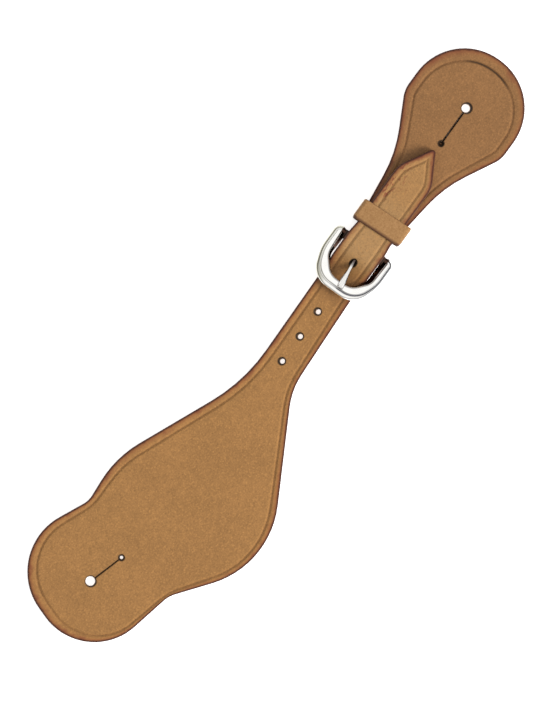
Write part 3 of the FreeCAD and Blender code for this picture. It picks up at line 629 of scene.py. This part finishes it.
class Fold:
    """The buckle strap seen from the side: folded round the bar, with its return below.  Places
    along the flat leather are measured from the bar, and those of the return are negative."""

    def __init__(self, thick, bar_round):
        heights = layer_heights()
        self.low = heights.strap_low
        self.bar_high = bar_centre().z / MM
        self.seam = heights.strap_top - thick
        self.outer = (heights.strap_top - self.low) / 2
        self.inner = bar_round + BAR_FIT
        self.pinch = math.sqrt(self.inner ** 2 - (self.bar_high - self.seam) ** 2)
        self.around = 2 * self.pinch + math.pi * self.outer
        top = heights.strap_top
        self.top_line = side_line([(LINE_START, top, 0), (STACK_END + BEND_SKEW, top, 40),
                                   (LANDING + BEND_SKEW, thick, 40), (LINE_END, thick, 0)], 0)
        self.under_line = side_line([(LINE_START, self.seam, 0), (STACK_END, self.seam, 6),
                                     (LANDING, 0, 40), (LINE_END, 0, 0)], 0)

    def on_return(self, x):
        """Where a place on the return lies along the flat leather."""
        return 2 * self.pinch - self.around - x

    def place(self, along, share):
        """Where a point of the flat leather comes to lie.  share is 1 on the grain."""
        if along > self.pinch:
            low = height_on(self.under_line, along) + (PLY_GAP if along < STACK_END else 0)
            return along, low + (height_on(self.top_line, along) - low) * share
        if along < self.pinch - self.around:
            return self.place_return(self.on_return(along), share)
        return self.place_round(self.pinch - along, share)

    def place_return(self, x, share):
        """On the return, which is skived thin towards its end."""
        low = self.seam - PLY_GAP
        deep = self.low
        if x > SKIVE_START:
            thinned = (x - SKIVE_START) / (STACK_END - SKIVE_START)
            deep += (self.seam - SKIVE_EDGE - self.low) * thinned
        return x, low + (deep - low) * share

    def place_round(self, gone, share):
        """Round the bar: the grain runs straight, half round and straight again, and the flesh
        side all the way round the bar."""
        if gone < self.pinch:
            outside = Vector((self.pinch - gone, self.outer))
        elif gone > self.around - self.pinch:
            outside = Vector((gone - self.around + self.pinch, -self.outer))
        else:
            outside = Matrix.Rotation((gone - self.pinch) / self.outer, 2) @ Vector((0, self.outer))
        first = math.atan2(self.seam - self.bar_high, self.pinch)
        turn = Matrix.Rotation(first + 2 * math.pi * gone / self.around, 2)
        inside = turn @ Vector((self.inner, 0))
        point = inside + (outside - inside) * share
        return point.x, point.y + self.bar_high


def wear_buckle_strap(mesh, fold, wider):
    """Widens the fold, paints shade on its sides, stains the edges, and deepens the cut in the
    lobe's end with painted shade.
    """
    edge, crease, dark, stain = layers(mesh, "edge", "crease", "hole", "stain")
    for vert in mesh.verts:
        x, y, _ = vert.co
        in_fold = ramp(x, 2.0, 0.9) * ramp(x, fold.on_return(2.0), fold.on_return(0.9))
        vert.co.y += math.copysign(wider * in_fold * ramp(abs(y), 4, 9), y)
        near_edge = ramp(vert[edge], 2.2, 0.4)
        vert[stain] = max(near_edge * ramp(x, 60, 20) * 0.7, near_edge * ramp(y, 8, 20) * 0.6)
        # Painted shade on the fold's sides inside the buckle, in the hole value.
        vert[dark] = max(vert[dark], 0.85 * in_fold * ramp(abs(y), 8.0, 9.0))
        # The deep cut at the lobe's end: sunk deeper, with painted shade along it in the hole
        # value.
        if vert[crease] > 0.1 and x > 90:
            deep_cut = ramp(y, 15, 9) * ramp(y, -13, -7)
            vert[dark] = deep_cut * (0.55 + 0.45 * vert[crease])
            vert.co.z -= 0.25 * deep_cut


def make_buckle_strap(scene):
    sizes = in_mm(scene.spur_leather)
    holes = in_mm(scene.spur_holes)
    buckle = in_mm(scene.spur_buckle)
    fold = Fold(sizes.thick, buckle.bar_round)
    half = sizes.strap_half
    widen = sizes.strap_widen
    flare = sizes.strap_flare
    lobe = sizes.lobe
    end_half = half + (flare[1] - half) * (STACK_END - widen) / (flare[0] - widen)
    upper = [lobe, sizes.strap_shoulder, flare, (widen, half, 20),
             (fold.on_return(widen), half, 8), (fold.on_return(STACK_END), end_half, 0.4)]
    corners = upper + mirrored(upper)
    pull = (-sizes.lobe_crease_end, 0, 0)
    pressed = drifted(corners, {lobe: pull, mirrored([lobe])[0]: pull, flare: (0, 0.8, 0),
                                mirrored([flare])[0]: (0, -1.4, 0)})
    top_rings = edge_rings(corners, 0.5)
    top_rings += crease_rings(pressed, sizes.lobe_crease, sizes.crease_deep)
    aside = (0.4, -0.65)
    openings = [keyhole((holes.lobe_button + aside[0], aside[1]),
                        (holes.lobe_stop + aside[0], aside[1]),
                        (holes.button_round, holes.stop_round),
                        (holes.button_round * 0.76, 0.02), holes.slit_width)]
    slot_half = buckle.eye_width / 2 + SLOT_FIT
    slot_end = fold.inner + buckle.tongue_thick + slot_half

    def tongue_slot(mesh, grow, height, below):
        wide = slot_half + grow
        return draw_ring(mesh, rectangle(fold.on_return(slot_end) - grow, slot_end + grow,
                                         -wide, wide, wide - 0.1), height)

    openings.append(tongue_slot)
    mesh = build_leather(top_rings, edge_rings(corners, 0.3), openings, sizes.thick)
    cut_across(mesh, ((fold.on_return(SKIVE_START), fold.on_return(3.6), 4),
                      (fold.on_return(3.1), 3.1, 0.4), (4.1, 16.1, 4), (19, 54, 1.4)))
    wear_buckle_strap(mesh, fold, sizes.fold_half - half)
    bend_leather(mesh, sizes.thick, fold.place)
    finish_piece(mesh, "buckle_strap_leather", "strap", "tan_lobe",
                 ["buckle_strap"])


# ---------------------------------------------------------------- keeper

def make_keeper(scene):
    sizes = in_mm(scene.spur_keeper)
    half = sizes.half
    outside = half + sizes.thick
    top = layer_heights().keeper_top
    outer = rectangle(-outside, outside, 0, top, sizes.rounding)
    inner = rectangle(-half, half, sizes.thick, top - sizes.thick, sizes.rounding - sizes.thick)
    left, right = -sizes.width / 2, sizes.width / 2
    mesh = new_mesh()
    first = draw_ring(mesh, outer, right - 1.0)
    mark(mesh, first, edge=1.0)
    ring = first
    # Each ring: its outline, inset, place along and edge value.  The edge value darkens the cut
    # edges, over a wider band at the left end that also stands for painted shade.
    for corners, inset, along, near in (
            (outer, 0.0, left + 1.8, 1.0), (outer, 0.12, left + 1.0, 0.6),
            (outer, 0.35, left + 0.4, 0.2), (outer, 0.75, left, 0.0),
            (inner, -0.3, left, 0.1), (inner, 0.0, left + 0.3, 0.6),
            (inner, 0.0, right - 0.3, 0.6), (inner, -0.3, right, 0.1),
            (outer, 0.5, right, 0.1), (outer, 0.2, right - 0.2, 0.5),
            (outer, 0.05, right - 0.6, 0.8)):
        ring = grow_ring(mesh, ring, (draw_ring, inset_corners(corners, inset), along), edge=near)
    bmesh.ops.bridge_loops(mesh, edges=ring_edges(mesh, ring) + ring_edges(mesh, first))
    lean = math.tan(sizes.skew)
    # Painted shade in the stain value: on the keeper's side towards -y and at the corners of its
    # left end.
    stain, = layers(mesh, "stain")
    for vert in mesh.verts:
        across, high, along = vert.co
        vert[stain] = max(0.2 * ramp(across, 1 - half, -outside),
                          0.8 * ramp(along, left + 1.9, left + 0.7)
                          * ramp(abs(across), half - 1, half))
        vert.co = (sizes.reach + along - across * lean, across, high)
    finish_piece(mesh, "keeper_band", "keeper", "tan_keeper", ["keeper_loop"])


# ---------------------------------------------------------------- stitching

def draw_section(mesh, radius, place):
    """A round section, moved to its place."""
    ring = bmesh.ops.create_circle(mesh, segments=BAR_STEPS, radius=radius)["verts"]
    bmesh.ops.transform(mesh, matrix=place, verts=ring)
    return ring


def loft(mesh, sections):
    """A closed bar through its sections, each (draw, its sizes ...)."""
    draw, *sizes = sections[0]
    first = draw(mesh, *sizes)
    ring = first
    for section in sections[1:]:
        ring = grow_ring(mesh, ring, section)
    for end in (first, ring):
        bmesh.ops.edgeloop_fill(mesh, edges=ring_edges(mesh, end))


# A stitch, from where it comes up to where it goes down: how far along, how thick and how deep.
STITCH = ((0.0, 0.05, 0.75), (0.06, 0.3, 0.5), (0.2, 0.42, 0.36), (0.5, 0.44, 0.34),
          (0.8, 0.42, 0.36), (0.94, 0.3, 0.5), (0.99, 0.05, 0.75))


def make_stitch_row(name):
    """Lock stitches of twisted thread above and below the fold."""
    heights = layer_heights()
    low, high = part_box(name)
    bar = bar_centre()
    start = (low.x - bar.x) / MM
    end = (high.x - bar.x) / MM
    across = ((low.y + high.y) / 2 - bar.y) / MM
    stitches = 3
    pitch = (end - start - 2 * ROW_INSET) / stitches
    turn = Matrix.Rotation(RIGHT_ANGLE, 4, "Y")
    mesh = new_mesh()
    for level, sign in ((heights.strap_top, 1), (heights.strap_low, -1)):
        for i in range(stitches):
            sections = []
            for part, thick, sunk in STITCH:
                place = Matrix.Translation((start + ROW_INSET + pitch * (i + part), across,
                                            level - sign * sunk))
                sections.append((draw_section, thick, place @ turn))
            loft(mesh, sections)
    finish_piece(mesh, f"{name}_thread", "strap", "twisted_thread", [name])


# ---------------------------------------------------------------- buckle

def buckle_tilt(scene):
    """How far the buckle leans up where it lies on the billet."""
    half_band = in_mm(scene.spur_buckle).band_thick / 2
    billet_lift = BEND_HEIGHT + in_mm(scene.spur_leather).thick + BAND_FIT
    return math.atan2(billet_lift + half_band - bar_centre().z / MM, BEND_REACH)


def tongue_tilt(scene):
    """How far the tongue leans up where it rests on the crossbar."""
    sizes = in_mm(scene.spur_buckle)
    rise = sizes.band_thick / 2 + REST_GAP - (sizes.bar_round + EYE_FIT)
    return buckle_tilt(scene) + math.atan2(rise, -sizes.inner[0])


def about_bar(tilt):
    """The place of a piece that leans about the bar."""
    return Matrix.Translation((0, 0, bar_centre().z / MM)) @ Matrix.Rotation(tilt, 4, "Y")


def make_buckle(scene):
    sizes = in_mm(scene.spur_buckle)
    half = sizes.band_thick / 2
    heel, rail, front, inner_rail = sizes.heel, sizes.rail, sizes.front, sizes.inner_rail
    outline = [sizes.inner, inner_rail, (heel[0], inner_rail[1], 1.6), heel, rail, front]
    corners = outline + mirrored(outline)
    steps = arc_steps(corners)
    outside = {heel[:2], rail[:2], front[:2]}

    def border(outer, inner, pulled, lip):
        """The band's border, moved in by outer along its outside and by inner along its
        opening, pulled in more at the crossbar, with a lip inside the rails.  The left rail is
        cast a little broader."""
        moved = []
        for corner, out, into in zip(corners, inset_corners(corners, outer),
                                     inset_corners(corners, inner), strict=True):
            x, y, rounding = out if (corner[0], abs(corner[1])) in outside else into
            if corner[0] == front[0]:
                x += pulled
            if corner[0] == heel[0]:
                x = out[0]
                if abs(corner[1]) == inner_rail[1]:
                    y += -0.4 - 1.2 * lip if y > 0 else 1.6 * lip
            elif (corner[0], abs(corner[1])) == inner_rail[:2]:
                y += -1.0 if y > 0 else 0.4 + 1.1 * lip
            elif corner[0] == sizes.inner[0]:
                x = corner[0] - max(inner - 1.0, 0)
                y -= 0.6 if y > 0 else 0
            moved.append((x, y, rounding))
        return moved

    opening = [(corner[0], abs(corner[1])) not in outside
               for corner, count in zip(corners, steps) for _ in range(count + 1)]
    mesh = new_mesh()
    dark_layer, groove_layer, shade_layer = layers(mesh, "hole", "crease", "shade")
    ring = under = draw_ring(mesh, border(1.2, 1.2, 0, 1), -half, steps)
    for outer, inner, pulled, lip, height, groove, dark in (
            (0.5, 0.5, 0, 1, -half, 0, 1), (0.16, 0.0, 0, 1, -half + 0.16, 0, 1),
            (0.0, 0.0, 0, 1, -half + 0.5, 0, 1), (0.0, 0.3, 0, 0.6, -half + 1.1, 0, 1),
            (0.02, 0.6, 0, 0.2, half - 1.3, 0, 1), (0.3, 0.85, 0.1, 0, half - 0.9, 0, 1),
            (0.65, 1.0, 0.4, 0, half - 0.58, 0, 0.9), (0.95, 1.06, 0.75, 0, half - 0.4, 0.2, 0.6),
            (1.12, 1.1, 0.9, 0, half - 0.62, 1, 0.3), (1.36, 1.14, 1.05, 0, half - 0.62, 1, 0),
            (1.56, 1.2, 1.1, 0, half - 0.34, 0.2, 0), (1.78, 1.45, 1.15, 0, half - 0.14, 0, 0),
            (2.0, 1.75, 1.2, 0, half - 0.04, 0, 0), (2.25, 2.0, 1.2, 0, half, 0, 0)):
        ring = grow_ring(mesh, ring, (draw_ring, border(outer, inner, pulled, lip), height, steps))
        # Painted on the band: dark shade and reflection on the opening's inner walls (hole), a dark
        # reflection along the groove on the -y side (crease), and a grey reflection on the outer
        # slopes and groove of the +y side (shade).
        for vert, inward in zip(ring, opening, strict=True):
            vert[dark_layer] = dark if inward else 0
            vert[groove_layer] = 0 if inward else groove * ramp(vert.co.y, 6, -2)
            slope = 0 if inward or outer > 1 else ramp(vert.co.y, 4, 10)
            vert[shade_layer] = max(slope, 0.5 * groove * ramp(vert.co.y, 2, 8))
    for border_ring, facing in ((under, -1), (ring, 1)):
        bmesh.ops.triangle_fill(mesh, use_beauty=True, edges=ring_edges(mesh, border_ring),
                                normal=UP * facing)
    band = set(mesh.verts)
    turn = Matrix.Rotation(RIGHT_ANGLE, 4, "X")
    reach = inner_rail[1] + sizes.bar_round
    loft(mesh, [(draw_section, sizes.bar_round, Matrix.Translation((0, across, 0)) @ turn)
                for across in (-reach, -inner_rail[1], 0, inner_rail[1], reach)])
    # The bar is painted dark all over: painted shade under the fold.
    mark(mesh, set(mesh.verts) - band, hole=1)
    finish_piece(mesh, "buckle_band", "frame", "bright_band", ["buckle_frame"],
                 about_bar(buckle_tilt(scene)))


def make_tongue(scene):
    sizes = in_mm(scene.spur_buckle)
    inner = sizes.bar_round + EYE_FIT
    outer = inner + sizes.tongue_thick
    mid = (inner + outer) / 2
    reach = sizes.tongue_reach
    root = sizes.tongue_root / 2
    tip = sizes.tongue_tip / 2
    eye = sizes.eye_width / 2

    def section(scratch, half_wide, half_thick, place):
        """A bar with a flat back and two sloping facets beside its flat top."""
        low = -half_thick
        ridge = half_wide * 0.56
        ring = draw_ring(scratch, [(half_wide, 0.0, 0.15), (ridge, half_thick, 0.12),
                                   (-ridge, half_thick, 0.12), (-half_wide, 0.0, 0.15),
                                   (-half_wide, low, 0.2), (half_wide, low, 0.2)])
        bmesh.ops.transform(scratch, matrix=place, verts=ring)
        return ring

    upright = Matrix.Rotation(RIGHT_ANGLE, 4, "Z") @ Matrix.Rotation(RIGHT_ANGLE, 4, "X")
    curl_angle = math.radians(270)
    curl_steps = 24
    sections = []
    for i in range(curl_steps + 1):
        turn = Matrix.Rotation(curl_angle * (1 - i / curl_steps), 4, "Y")
        sections.append((section, eye, sizes.tongue_thick / 2,
                         turn @ Matrix.Translation((0, 0, mid)) @ upright))
    for along, half_wide, half_thick, drop in (
            (1.5, eye, 0.8, 0), (outer, eye - 0.1, 0.8, 0), (outer + 1.2, root + 0.12, 0.68, -0.12),
            (outer + 2.4, root, 0.68, -0.12), (9.4, root, 0.7, -0.1),
            (11.2, root + 0.05, 0.8, 0), (12.4, root + 0.1, 0.8, 0),
            (15, root + 0.2, 0.8, 0), (19.4, tip - 0.1, 0.8, 0),
            (reach - 1.6, tip, 0.78, -0.02), (reach - 0.5, tip - 0.1, 0.6, -0.16),
            (reach - 0.05, tip - 0.4, 0.4, -0.33)):
        place = Matrix.Translation((-along, 0, mid + drop)) @ upright
        sections.append((section, half_wide, half_thick, place))
    mesh = new_mesh()
    loft(mesh, sections)
    # Painted shade on the root inside the billet's hole and a painted dark reflection along the
    # lower sides, in the hole value.
    dark, = layers(mesh, "hole")
    for vert in mesh.verts:
        vert[dark] = max(0.93 * ramp(vert.co.x, -12.4, -10.4),
                         0.8 * ramp(vert.co.z, mid + 0.55, mid + 0.1))
        vert.co.y += 0.13 * min(vert.co.x + 9.4, 0)
    finish_piece(mesh, "buckle_tongue_bright", "tongue", "bright_tongue",
                 ["buckle_tongue"], about_bar(tongue_tilt(scene)))


# ---------------------------------------------------------------- finishes

class Nodes:
    """A node tree, with short ways to add and join its nodes."""

    def __init__(self, tree):
        self.tree = tree

    def find(self, kind):
        """The node of its kind that was there from the start."""
        return next(node for node in self.tree.nodes if node.type == kind)

    def give(self, node, inputs):
        """Gives a node its inputs: outputs of other nodes, colours or numbers."""
        for name, value in inputs.items():
            socket = node.inputs[name]
            if isinstance(value, bpy.types.NodeSocket):
                self.tree.links.new(value, socket)
            elif isinstance(socket, bpy.types.NodeSocketColor):
                socket.default_value = (*value, 1)
            else:
                socket.default_value = value

    def add(self, kind, output, inputs=None, **settings):
        """Adds a node with its inputs and settings.  Returns one of its outputs."""
        node = self.tree.nodes.new(kind)
        for name, value in settings.items():
            setattr(node, name, value)
        self.give(node, inputs or {})
        return node.outputs[output]

    def spread(self, value, low, high, to_low=0.0, to_high=1.0):
        """A value spread smoothly from one range over another, and no further."""
        return self.add("ShaderNodeMapRange", "Result",
                        {"Value": value, "From Min": low, "From Max": high, "To Min": to_low,
                         "To Max": to_high}, clamp=True, interpolation_type="SMOOTHSTEP")

    def math(self, operation, one, other):
        return self.add("ShaderNodeMath", "Value", {0: one, 1: other}, operation=operation)

    def times(self, one, other):
        return self.math("MULTIPLY", one, other)

    def lay(self, shade, *coats):
        """A shade with coats over it in order, each (amount, colour)."""
        for amount, colour in coats:
            shade = self.add("ShaderNodeMix", 2, {"Factor": amount, 6: shade, 7: colour},
                             data_type="RGBA")
        return shade


class Finish(Nodes):
    """One node material."""

    def __init__(self, name):
        material = bpy.data.materials.new(name)
        material.use_nodes = True
        super().__init__(material.node_tree)
        self.place = self.add("ShaderNodeTexCoord", "Object")

    def give_shader(self, inputs):
        self.give(self.find("BSDF_PRINCIPLED"), inputs)

    def noise(self, size_mm, detail=3.0, rough=0.55, stretch=(1, 1, 1)):
        """Noise whose features are about size_mm across, drawn out by stretch."""
        place = self.add("ShaderNodeMapping", "Vector", {"Vector": self.place, "Scale": stretch})
        return self.add("ShaderNodeTexNoise", "Fac",
                        {"Vector": place, "Scale": 1 / (size_mm * MM), "Detail": detail,
                         "Roughness": rough})

    def mottled(self, noise, amount, shade, light, dark):
        """A shade with lighter and darker patches of one noise."""
        return self.lay(shade, (self.spread(noise, 0.5, 0.74, 0, amount), light),
                        (self.spread(noise, 0.5, 0.26, 0, amount), dark))

    def attribute(self, name):
        return self.add("ShaderNodeAttribute", "Fac", attribute_name=name)

    def bump(self, height, distance_mm, strength, under=None):
        """A bumpy surface, on top of another if one is under it."""
        inputs = {"Height": height, "Distance": distance_mm * MM, "Strength": strength}
        if under is not None:
            inputs["Normal"] = under
        return self.add("ShaderNodeBump", "Normal", inputs)


def make_strap_leather(name, colours, tan, ruddy):
    """Oiled tan skirting leather: fine mottled grain, orange-brown rims, burnished red-brown edges,
    a pressed crease, rubbed places, and a paler fibrous flesh side.  Painted shade darkens the
    crease's bottom, the holes, the fold inside the buckle and the billet under the crossbar."""
    finish = Finish(name)
    light, dark = ([part * share for part in tan] for share in (1.5, 0.62))
    edge, crease, hole, flesh, stain, rub, bend, lightened = map(finish.attribute, VALUES)
    wander = finish.noise(2.2, 3)
    fine = finish.noise(0.8, 4, 0.7)
    shade = finish.lay(tan, (finish.spread(finish.noise(24, 3), 0.35, 0.65, 0, 0.25), dark))
    shade = finish.mottled(finish.noise(3.6, 3), 0.22, shade, light, dark)
    shade = finish.lay(shade, (finish.times(lightened, 0.6), colours.pale))
    shade = finish.mottled(fine, 0.85, shade, light, dark)
    rim = finish.times(finish.spread(edge, 3.2, 0.5),
                       finish.spread(finish.noise(14, 2), 0.3, 0.7, ruddy * 0.45, ruddy))
    rim = finish.times(rim, finish.spread(lightened, 0, 1, 1, 0.5))
    blots = finish.times(finish.spread(finish.noise(6, 3), 0.54, 0.66, 0, 0.6),
                         finish.spread(edge, 3.6, 0.6))
    rubbed = finish.spread(finish.noise(1.5, 2, 0.5, (0.55, 1.3, 1)), 0.54, 0.61, 0, 0.85)
    stained = finish.times(stain, finish.spread(wander, 0.3, 0.65, 0.55, 1.0))
    worn_edge = finish.math("ADD", edge, finish.times(wander, -0.6))
    fibres = finish.lay(colours.flesh, (finish.spread(finish.noise(0.9, 5, 0.75, (1, 0.35, 1)),
                                                      0.3, 0.7), colours.tan_light))
    inside = finish.times(finish.spread(flesh, 0.55, 0.95), finish.spread(edge, 0.1, 0.6))
    shade = finish.lay(shade,
                       (rim, colours.rim),
                       # painted shade along the bottom of the crease
                       (finish.times(crease, 0.4), colours.burnish),
                       (blots, colours.stain),
                       (finish.times(rubbed, rub), colours.stain),
                       (stained, colours.stain),
                       # painted shade where the billet dips under the crossbar
                       (finish.times(bend, 0.55), colours.shade),
                       (finish.spread(worn_edge, 1.9, 0.4, 0, 0.45), colours.stain),
                       (finish.spread(worn_edge, 0.9, 0.2, 0, 0.93), colours.burnish),
                       # painted shade in the holes, on the fold inside the buckle and in the lobe's
                       # deep cut
                       (finish.times(hole, 0.97), colours.hole),
                       (inside, fibres))
    grain = finish.bump(finish.noise(0.8, 4, 0.7), 0.14, 0.55)
    finish.give_shader({"Base Color": shade, "Roughness": finish.spread(fine, 0.3, 0.7, 0.58, 0.68),
                        "Specular IOR Level": 0.25,
                        "Normal": finish.bump(finish.noise(6, 2), 0.5, 0.15, grain)})


def make_keeper_leather(colours):
    """Plainer leather of the keeper, with darkened cut edges and ends, and painted shade on its
    side towards -y and at the corners of its left end.
    """
    finish = Finish("tan_keeper")
    fine = finish.noise(0.9, 3, 0.65)
    shade = colours.keeper
    for noise, amount in ((finish.noise(3.0, 3), 0.3), (fine, 0.9)):
        shade = finish.mottled(noise, amount, shade, colours.tan_light, colours.tan_dark)
    # The stain value carries painted shade; the edge value darkens the cut edges.
    shade = finish.lay(shade, (finish.attribute("stain"), colours.burnish),
                       (finish.spread(finish.attribute("edge"), 0.75, 0.1, 0, 0.7),
                        colours.burnish))
    finish.give_shader({"Base Color": shade, "Roughness": finish.spread(fine, 0.3, 0.7, 0.5, 0.62),
                        "Specular IOR Level": 0.3,
                        "Normal": finish.bump(finish.noise(0.7, 4, 0.7), 0.12, 0.5)})


def make_thread(colours):
    """Waxed thread with its twist, and painted shade in the grooves between its strands."""
    finish = Finish("twisted_thread")
    strands = finish.add("ShaderNodeTexWave", "Fac",
                         {"Vector": finish.place, "Scale": 700, "Distortion": 1.2},
                         wave_type="BANDS", bands_direction="DIAGONAL")
    # painted shade between the strands
    finish.give_shader({"Base Color": finish.lay(colours.burnish, (strands, colours.thread)),
                        "Roughness": finish.spread(strands, 0, 1, 0.7, 0.5),
                        "Normal": finish.bump(strands, 0.12, 0.8)})


def make_bright_metal(name, tone, rough):
    """Polished plate with faint wipe marks and hairlines.  Painted on it: a grey reflection on the
    slopes of its +y side, a dark reflection along its groove, and dark shade and reflection where
    its opening faces the leather, on the hidden bar and on the tongue's root and lower sides."""
    finish = Finish(name)
    smudge = finish.noise(7, 3)
    hairs = finish.noise(0.35, 4, 0.7, (1, 0.12, 1))
    shade = finish.lay(tone, (finish.spread(smudge, 0.35, 0.7, 0, 0.25), (0.78, 0.77, 0.74)),
                       # painted grey reflection on the slopes of the +y side
                       (finish.attribute("shade"), (0.52, 0.51, 0.44)),
                       # painted dark reflection along the groove
                       (finish.times(finish.attribute("crease"), 0.93), (0.07, 0.07, 0.09)),
                       # painted shade and dark reflection where the leather hides or faces the
                       # metal
                       (finish.attribute("hole"), (0.06, 0.03, 0.022)))
    finish.give_shader({"Base Color": shade, "Metallic": 1,
                        "Roughness": finish.spread(smudge, 0.3, 0.7, rough, rough + 0.08),
                        "Normal": finish.bump(hairs, 0.01, 0.25)})


def make_floor_white():
    """A white table that is lit from below a little, so that it stays white beside the part."""
    finish = Finish("floor_white")
    tone = finish.lay((0.9, 0.9, 0.9), (finish.noise(300, 2), (0.93, 0.93, 0.93)))
    finish.give_shader({"Base Color": tone, "Emission Color": tone, "Emission Strength": 0.7,
                        "Roughness": 0.9, "Specular IOR Level": 0.1})


# ---------------------------------------------------------------- stage

def make_sky():
    """Soft surroundings: a white card overhead, dimmer walls, the one on the buckle's left
    dimmest, and a pale horizon."""
    world = bpy.data.worlds.new("soft_room")
    world.use_nodes = True
    sky = Nodes(world.node_tree)
    way = sky.add("ShaderNodeTexCoord", "Generated")
    beside = sky.add("ShaderNodeVectorMath", "Value", {0: way, 1: (-0.586, 0.810, 0)},
                     operation="DOT_PRODUCT")
    height = sky.add("ShaderNodeSeparateXYZ", "Z", {0: way})
    tone = sky.lay((0.5, 0.5, 0.51), (sky.spread(beside, -0.4, 0.6), (0.28, 0.27, 0.24)),
                   (sky.spread(height, 0.5, 0.93), (1.0, 0.99, 0.97)),
                   (sky.spread(height, 0.2, 0.06), (0.85, 0.85, 0.84)))
    sky.give(sky.find("BACKGROUND"), {"Color": tone, "Strength": 1.08})
    bpy.context.scene.world = world


def make_stage():
    """A white floor, one soft light from the right, the soft surroundings and the camera."""
    floor_mesh = bmesh.new()
    bmesh.ops.create_grid(floor_mesh, x_segments=2, y_segments=2, size=4)
    floor = add_mesh("floor", floor_mesh, "floor_white")
    floor.location.z = -FLOOR_GAP * MM
    make_sky()

    lamp = bpy.data.lights.new("soft_light", "AREA")
    lamp.size = 1.1
    lamp.energy = 88
    light = add_object("soft_light", lamp)
    light.location = (0.4, -2.0, 1.5)
    light.rotation_euler = (-light.location).to_track_quat("-Z", "Y").to_euler()
    light.visible_glossy = False

    lens = bpy.data.cameras.new("camera")
    camera = add_object("camera", lens)
    distance = 2.2
    view_long = 0.3276
    middle = bar_centre() + Vector((-64.6, 4.6, 0)) * MM
    leather_top = 3.4 * MM
    lens.sensor_width = 36
    lens.lens = lens.sensor_width * distance / view_long
    lens.clip_end = 20
    camera.location = (middle.x, middle.y, distance + leather_top)
    camera.rotation_euler = (0, 0, math.radians(-54.1))
    scene = bpy.context.scene
    scene.camera = camera
    scene.view_settings.view_transform = "Standard"


# ---------------------------------------------------------------- add-on

class SPUR_OT_finishes(bpy.types.Operator):
    """Make the leather, thread and metal finishes"""
    bl_idname = "spur.finishes"
    bl_label = "Finishes"

    def execute(self, context):
        colours = context.scene.spur_colours
        make_strap_leather("tan_billet", colours, colours.tan, 0.9)
        make_strap_leather("tan_lobe", colours, colours.lobe_tan, 0.45)
        make_keeper_leather(colours)
        make_thread(colours)
        make_bright_metal("bright_band", colours.nickel, 0.06)
        make_bright_metal("bright_tongue", [part * 0.86 for part in colours.nickel], 0.16)
        make_bright_metal("staple_wire", (0.5, 0.5, 0.5), 0.3)
        make_floor_white()
        return {"FINISHED"}


class SPUR_OT_billet(bpy.types.Operator):
    """Make the billet strap with its two-lobed wing"""
    bl_idname = "spur.billet"
    bl_label = "Billet Strap"

    def execute(self, context):
        make_billet(context.scene)
        return {"FINISHED"}


class SPUR_OT_buckle_strap(bpy.types.Operator):
    """Make the buckle strap, folded round the buckle's bar"""
    bl_idname = "spur.buckle_strap"
    bl_label = "Buckle Strap"

    def execute(self, context):
        make_buckle_strap(context.scene)
        return {"FINISHED"}


class SPUR_OT_keeper(bpy.types.Operator):
    """Make the keeper loop and finish its staple"""
    bl_idname = "spur.keeper"
    bl_label = "Keeper"

    def execute(self, context):
        make_keeper(context.scene)
        staple = frame["nodes"]["keeper_staple"]
        staple.data.materials.clear()
        staple.data.materials.append(bpy.data.materials["staple_wire"])
        return {"FINISHED"}


class SPUR_OT_stitching(bpy.types.Operator):
    """Make the two rows of stitches that hold the fold"""
    bl_idname = "spur.stitching"
    bl_label = "Stitching"

    def execute(self, context):
        make_stitch_row("stitch_row_left")
        make_stitch_row("stitch_row_right")
        return {"FINISHED"}


class SPUR_OT_buckle(bpy.types.Operator):
    """Make the buckle's band and heel bar"""
    bl_idname = "spur.buckle"
    bl_label = "Buckle"

    def execute(self, context):
        make_buckle(context.scene)
        return {"FINISHED"}


class SPUR_OT_tongue(bpy.types.Operator):
    """Make the buckle's tongue"""
    bl_idname = "spur.tongue"
    bl_label = "Tongue"

    def execute(self, context):
        make_tongue(context.scene)
        return {"FINISHED"}


class SPUR_OT_stage(bpy.types.Operator):
    """Make the floor, the soft lights and the camera"""
    bl_idname = "spur.stage"
    bl_label = "Stage"

    def execute(self, context):
        make_stage()
        return {"FINISHED"}


OPERATORS = (SPUR_OT_finishes, SPUR_OT_billet, SPUR_OT_buckle_strap, SPUR_OT_keeper,
             SPUR_OT_stitching, SPUR_OT_buckle, SPUR_OT_tongue, SPUR_OT_stage)
GROUPS = {
    "spur_leather": LeatherSizes,
    "spur_holes": HoleSizes,
    "spur_buckle": BuckleSizes,
    "spur_keeper": KeeperSizes,
    "spur_colours": StrapColours,
}


class SPUR_PT_maker(bpy.types.Panel):
    """The pieces of the spur strap, in the order they are made"""
    bl_idname = "SPUR_PT_maker"
    bl_label = "Spur Strap"
    bl_space_type = "VIEW_3D"
    bl_region_type = "UI"
    bl_category = "Spur Strap"

    def draw(self, context):
        for operator in OPERATORS:
            self.layout.operator(operator.bl_idname)
        for group, kind in GROUPS.items():
            box = self.layout.box()
            for name in kind.__annotations__:
                box.prop(getattr(context.scene, group), name)


def register():
    for kind in (*GROUPS.values(), *OPERATORS, SPUR_PT_maker):
        bpy.utils.register_class(kind)
    for name, kind in GROUPS.items():
        setattr(bpy.types.Scene, name, PointerProperty(type=kind))


def unregister():
    for name in GROUPS:
        delattr(bpy.types.Scene, name)
    for kind in reversed((*GROUPS.values(), *OPERATORS, SPUR_PT_maker)):
        bpy.utils.unregister_class(kind)


def main():
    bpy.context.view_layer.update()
    register()
    bpy.ops.spur.finishes()
    bpy.ops.spur.billet()
    bpy.ops.spur.buckle_strap()
    bpy.ops.spur.keeper()
    bpy.ops.spur.stitching()
    bpy.ops.spur.buckle()
    bpy.ops.spur.tongue()
    bpy.ops.spur.stage()


if __name__ == "__main__":
    main()
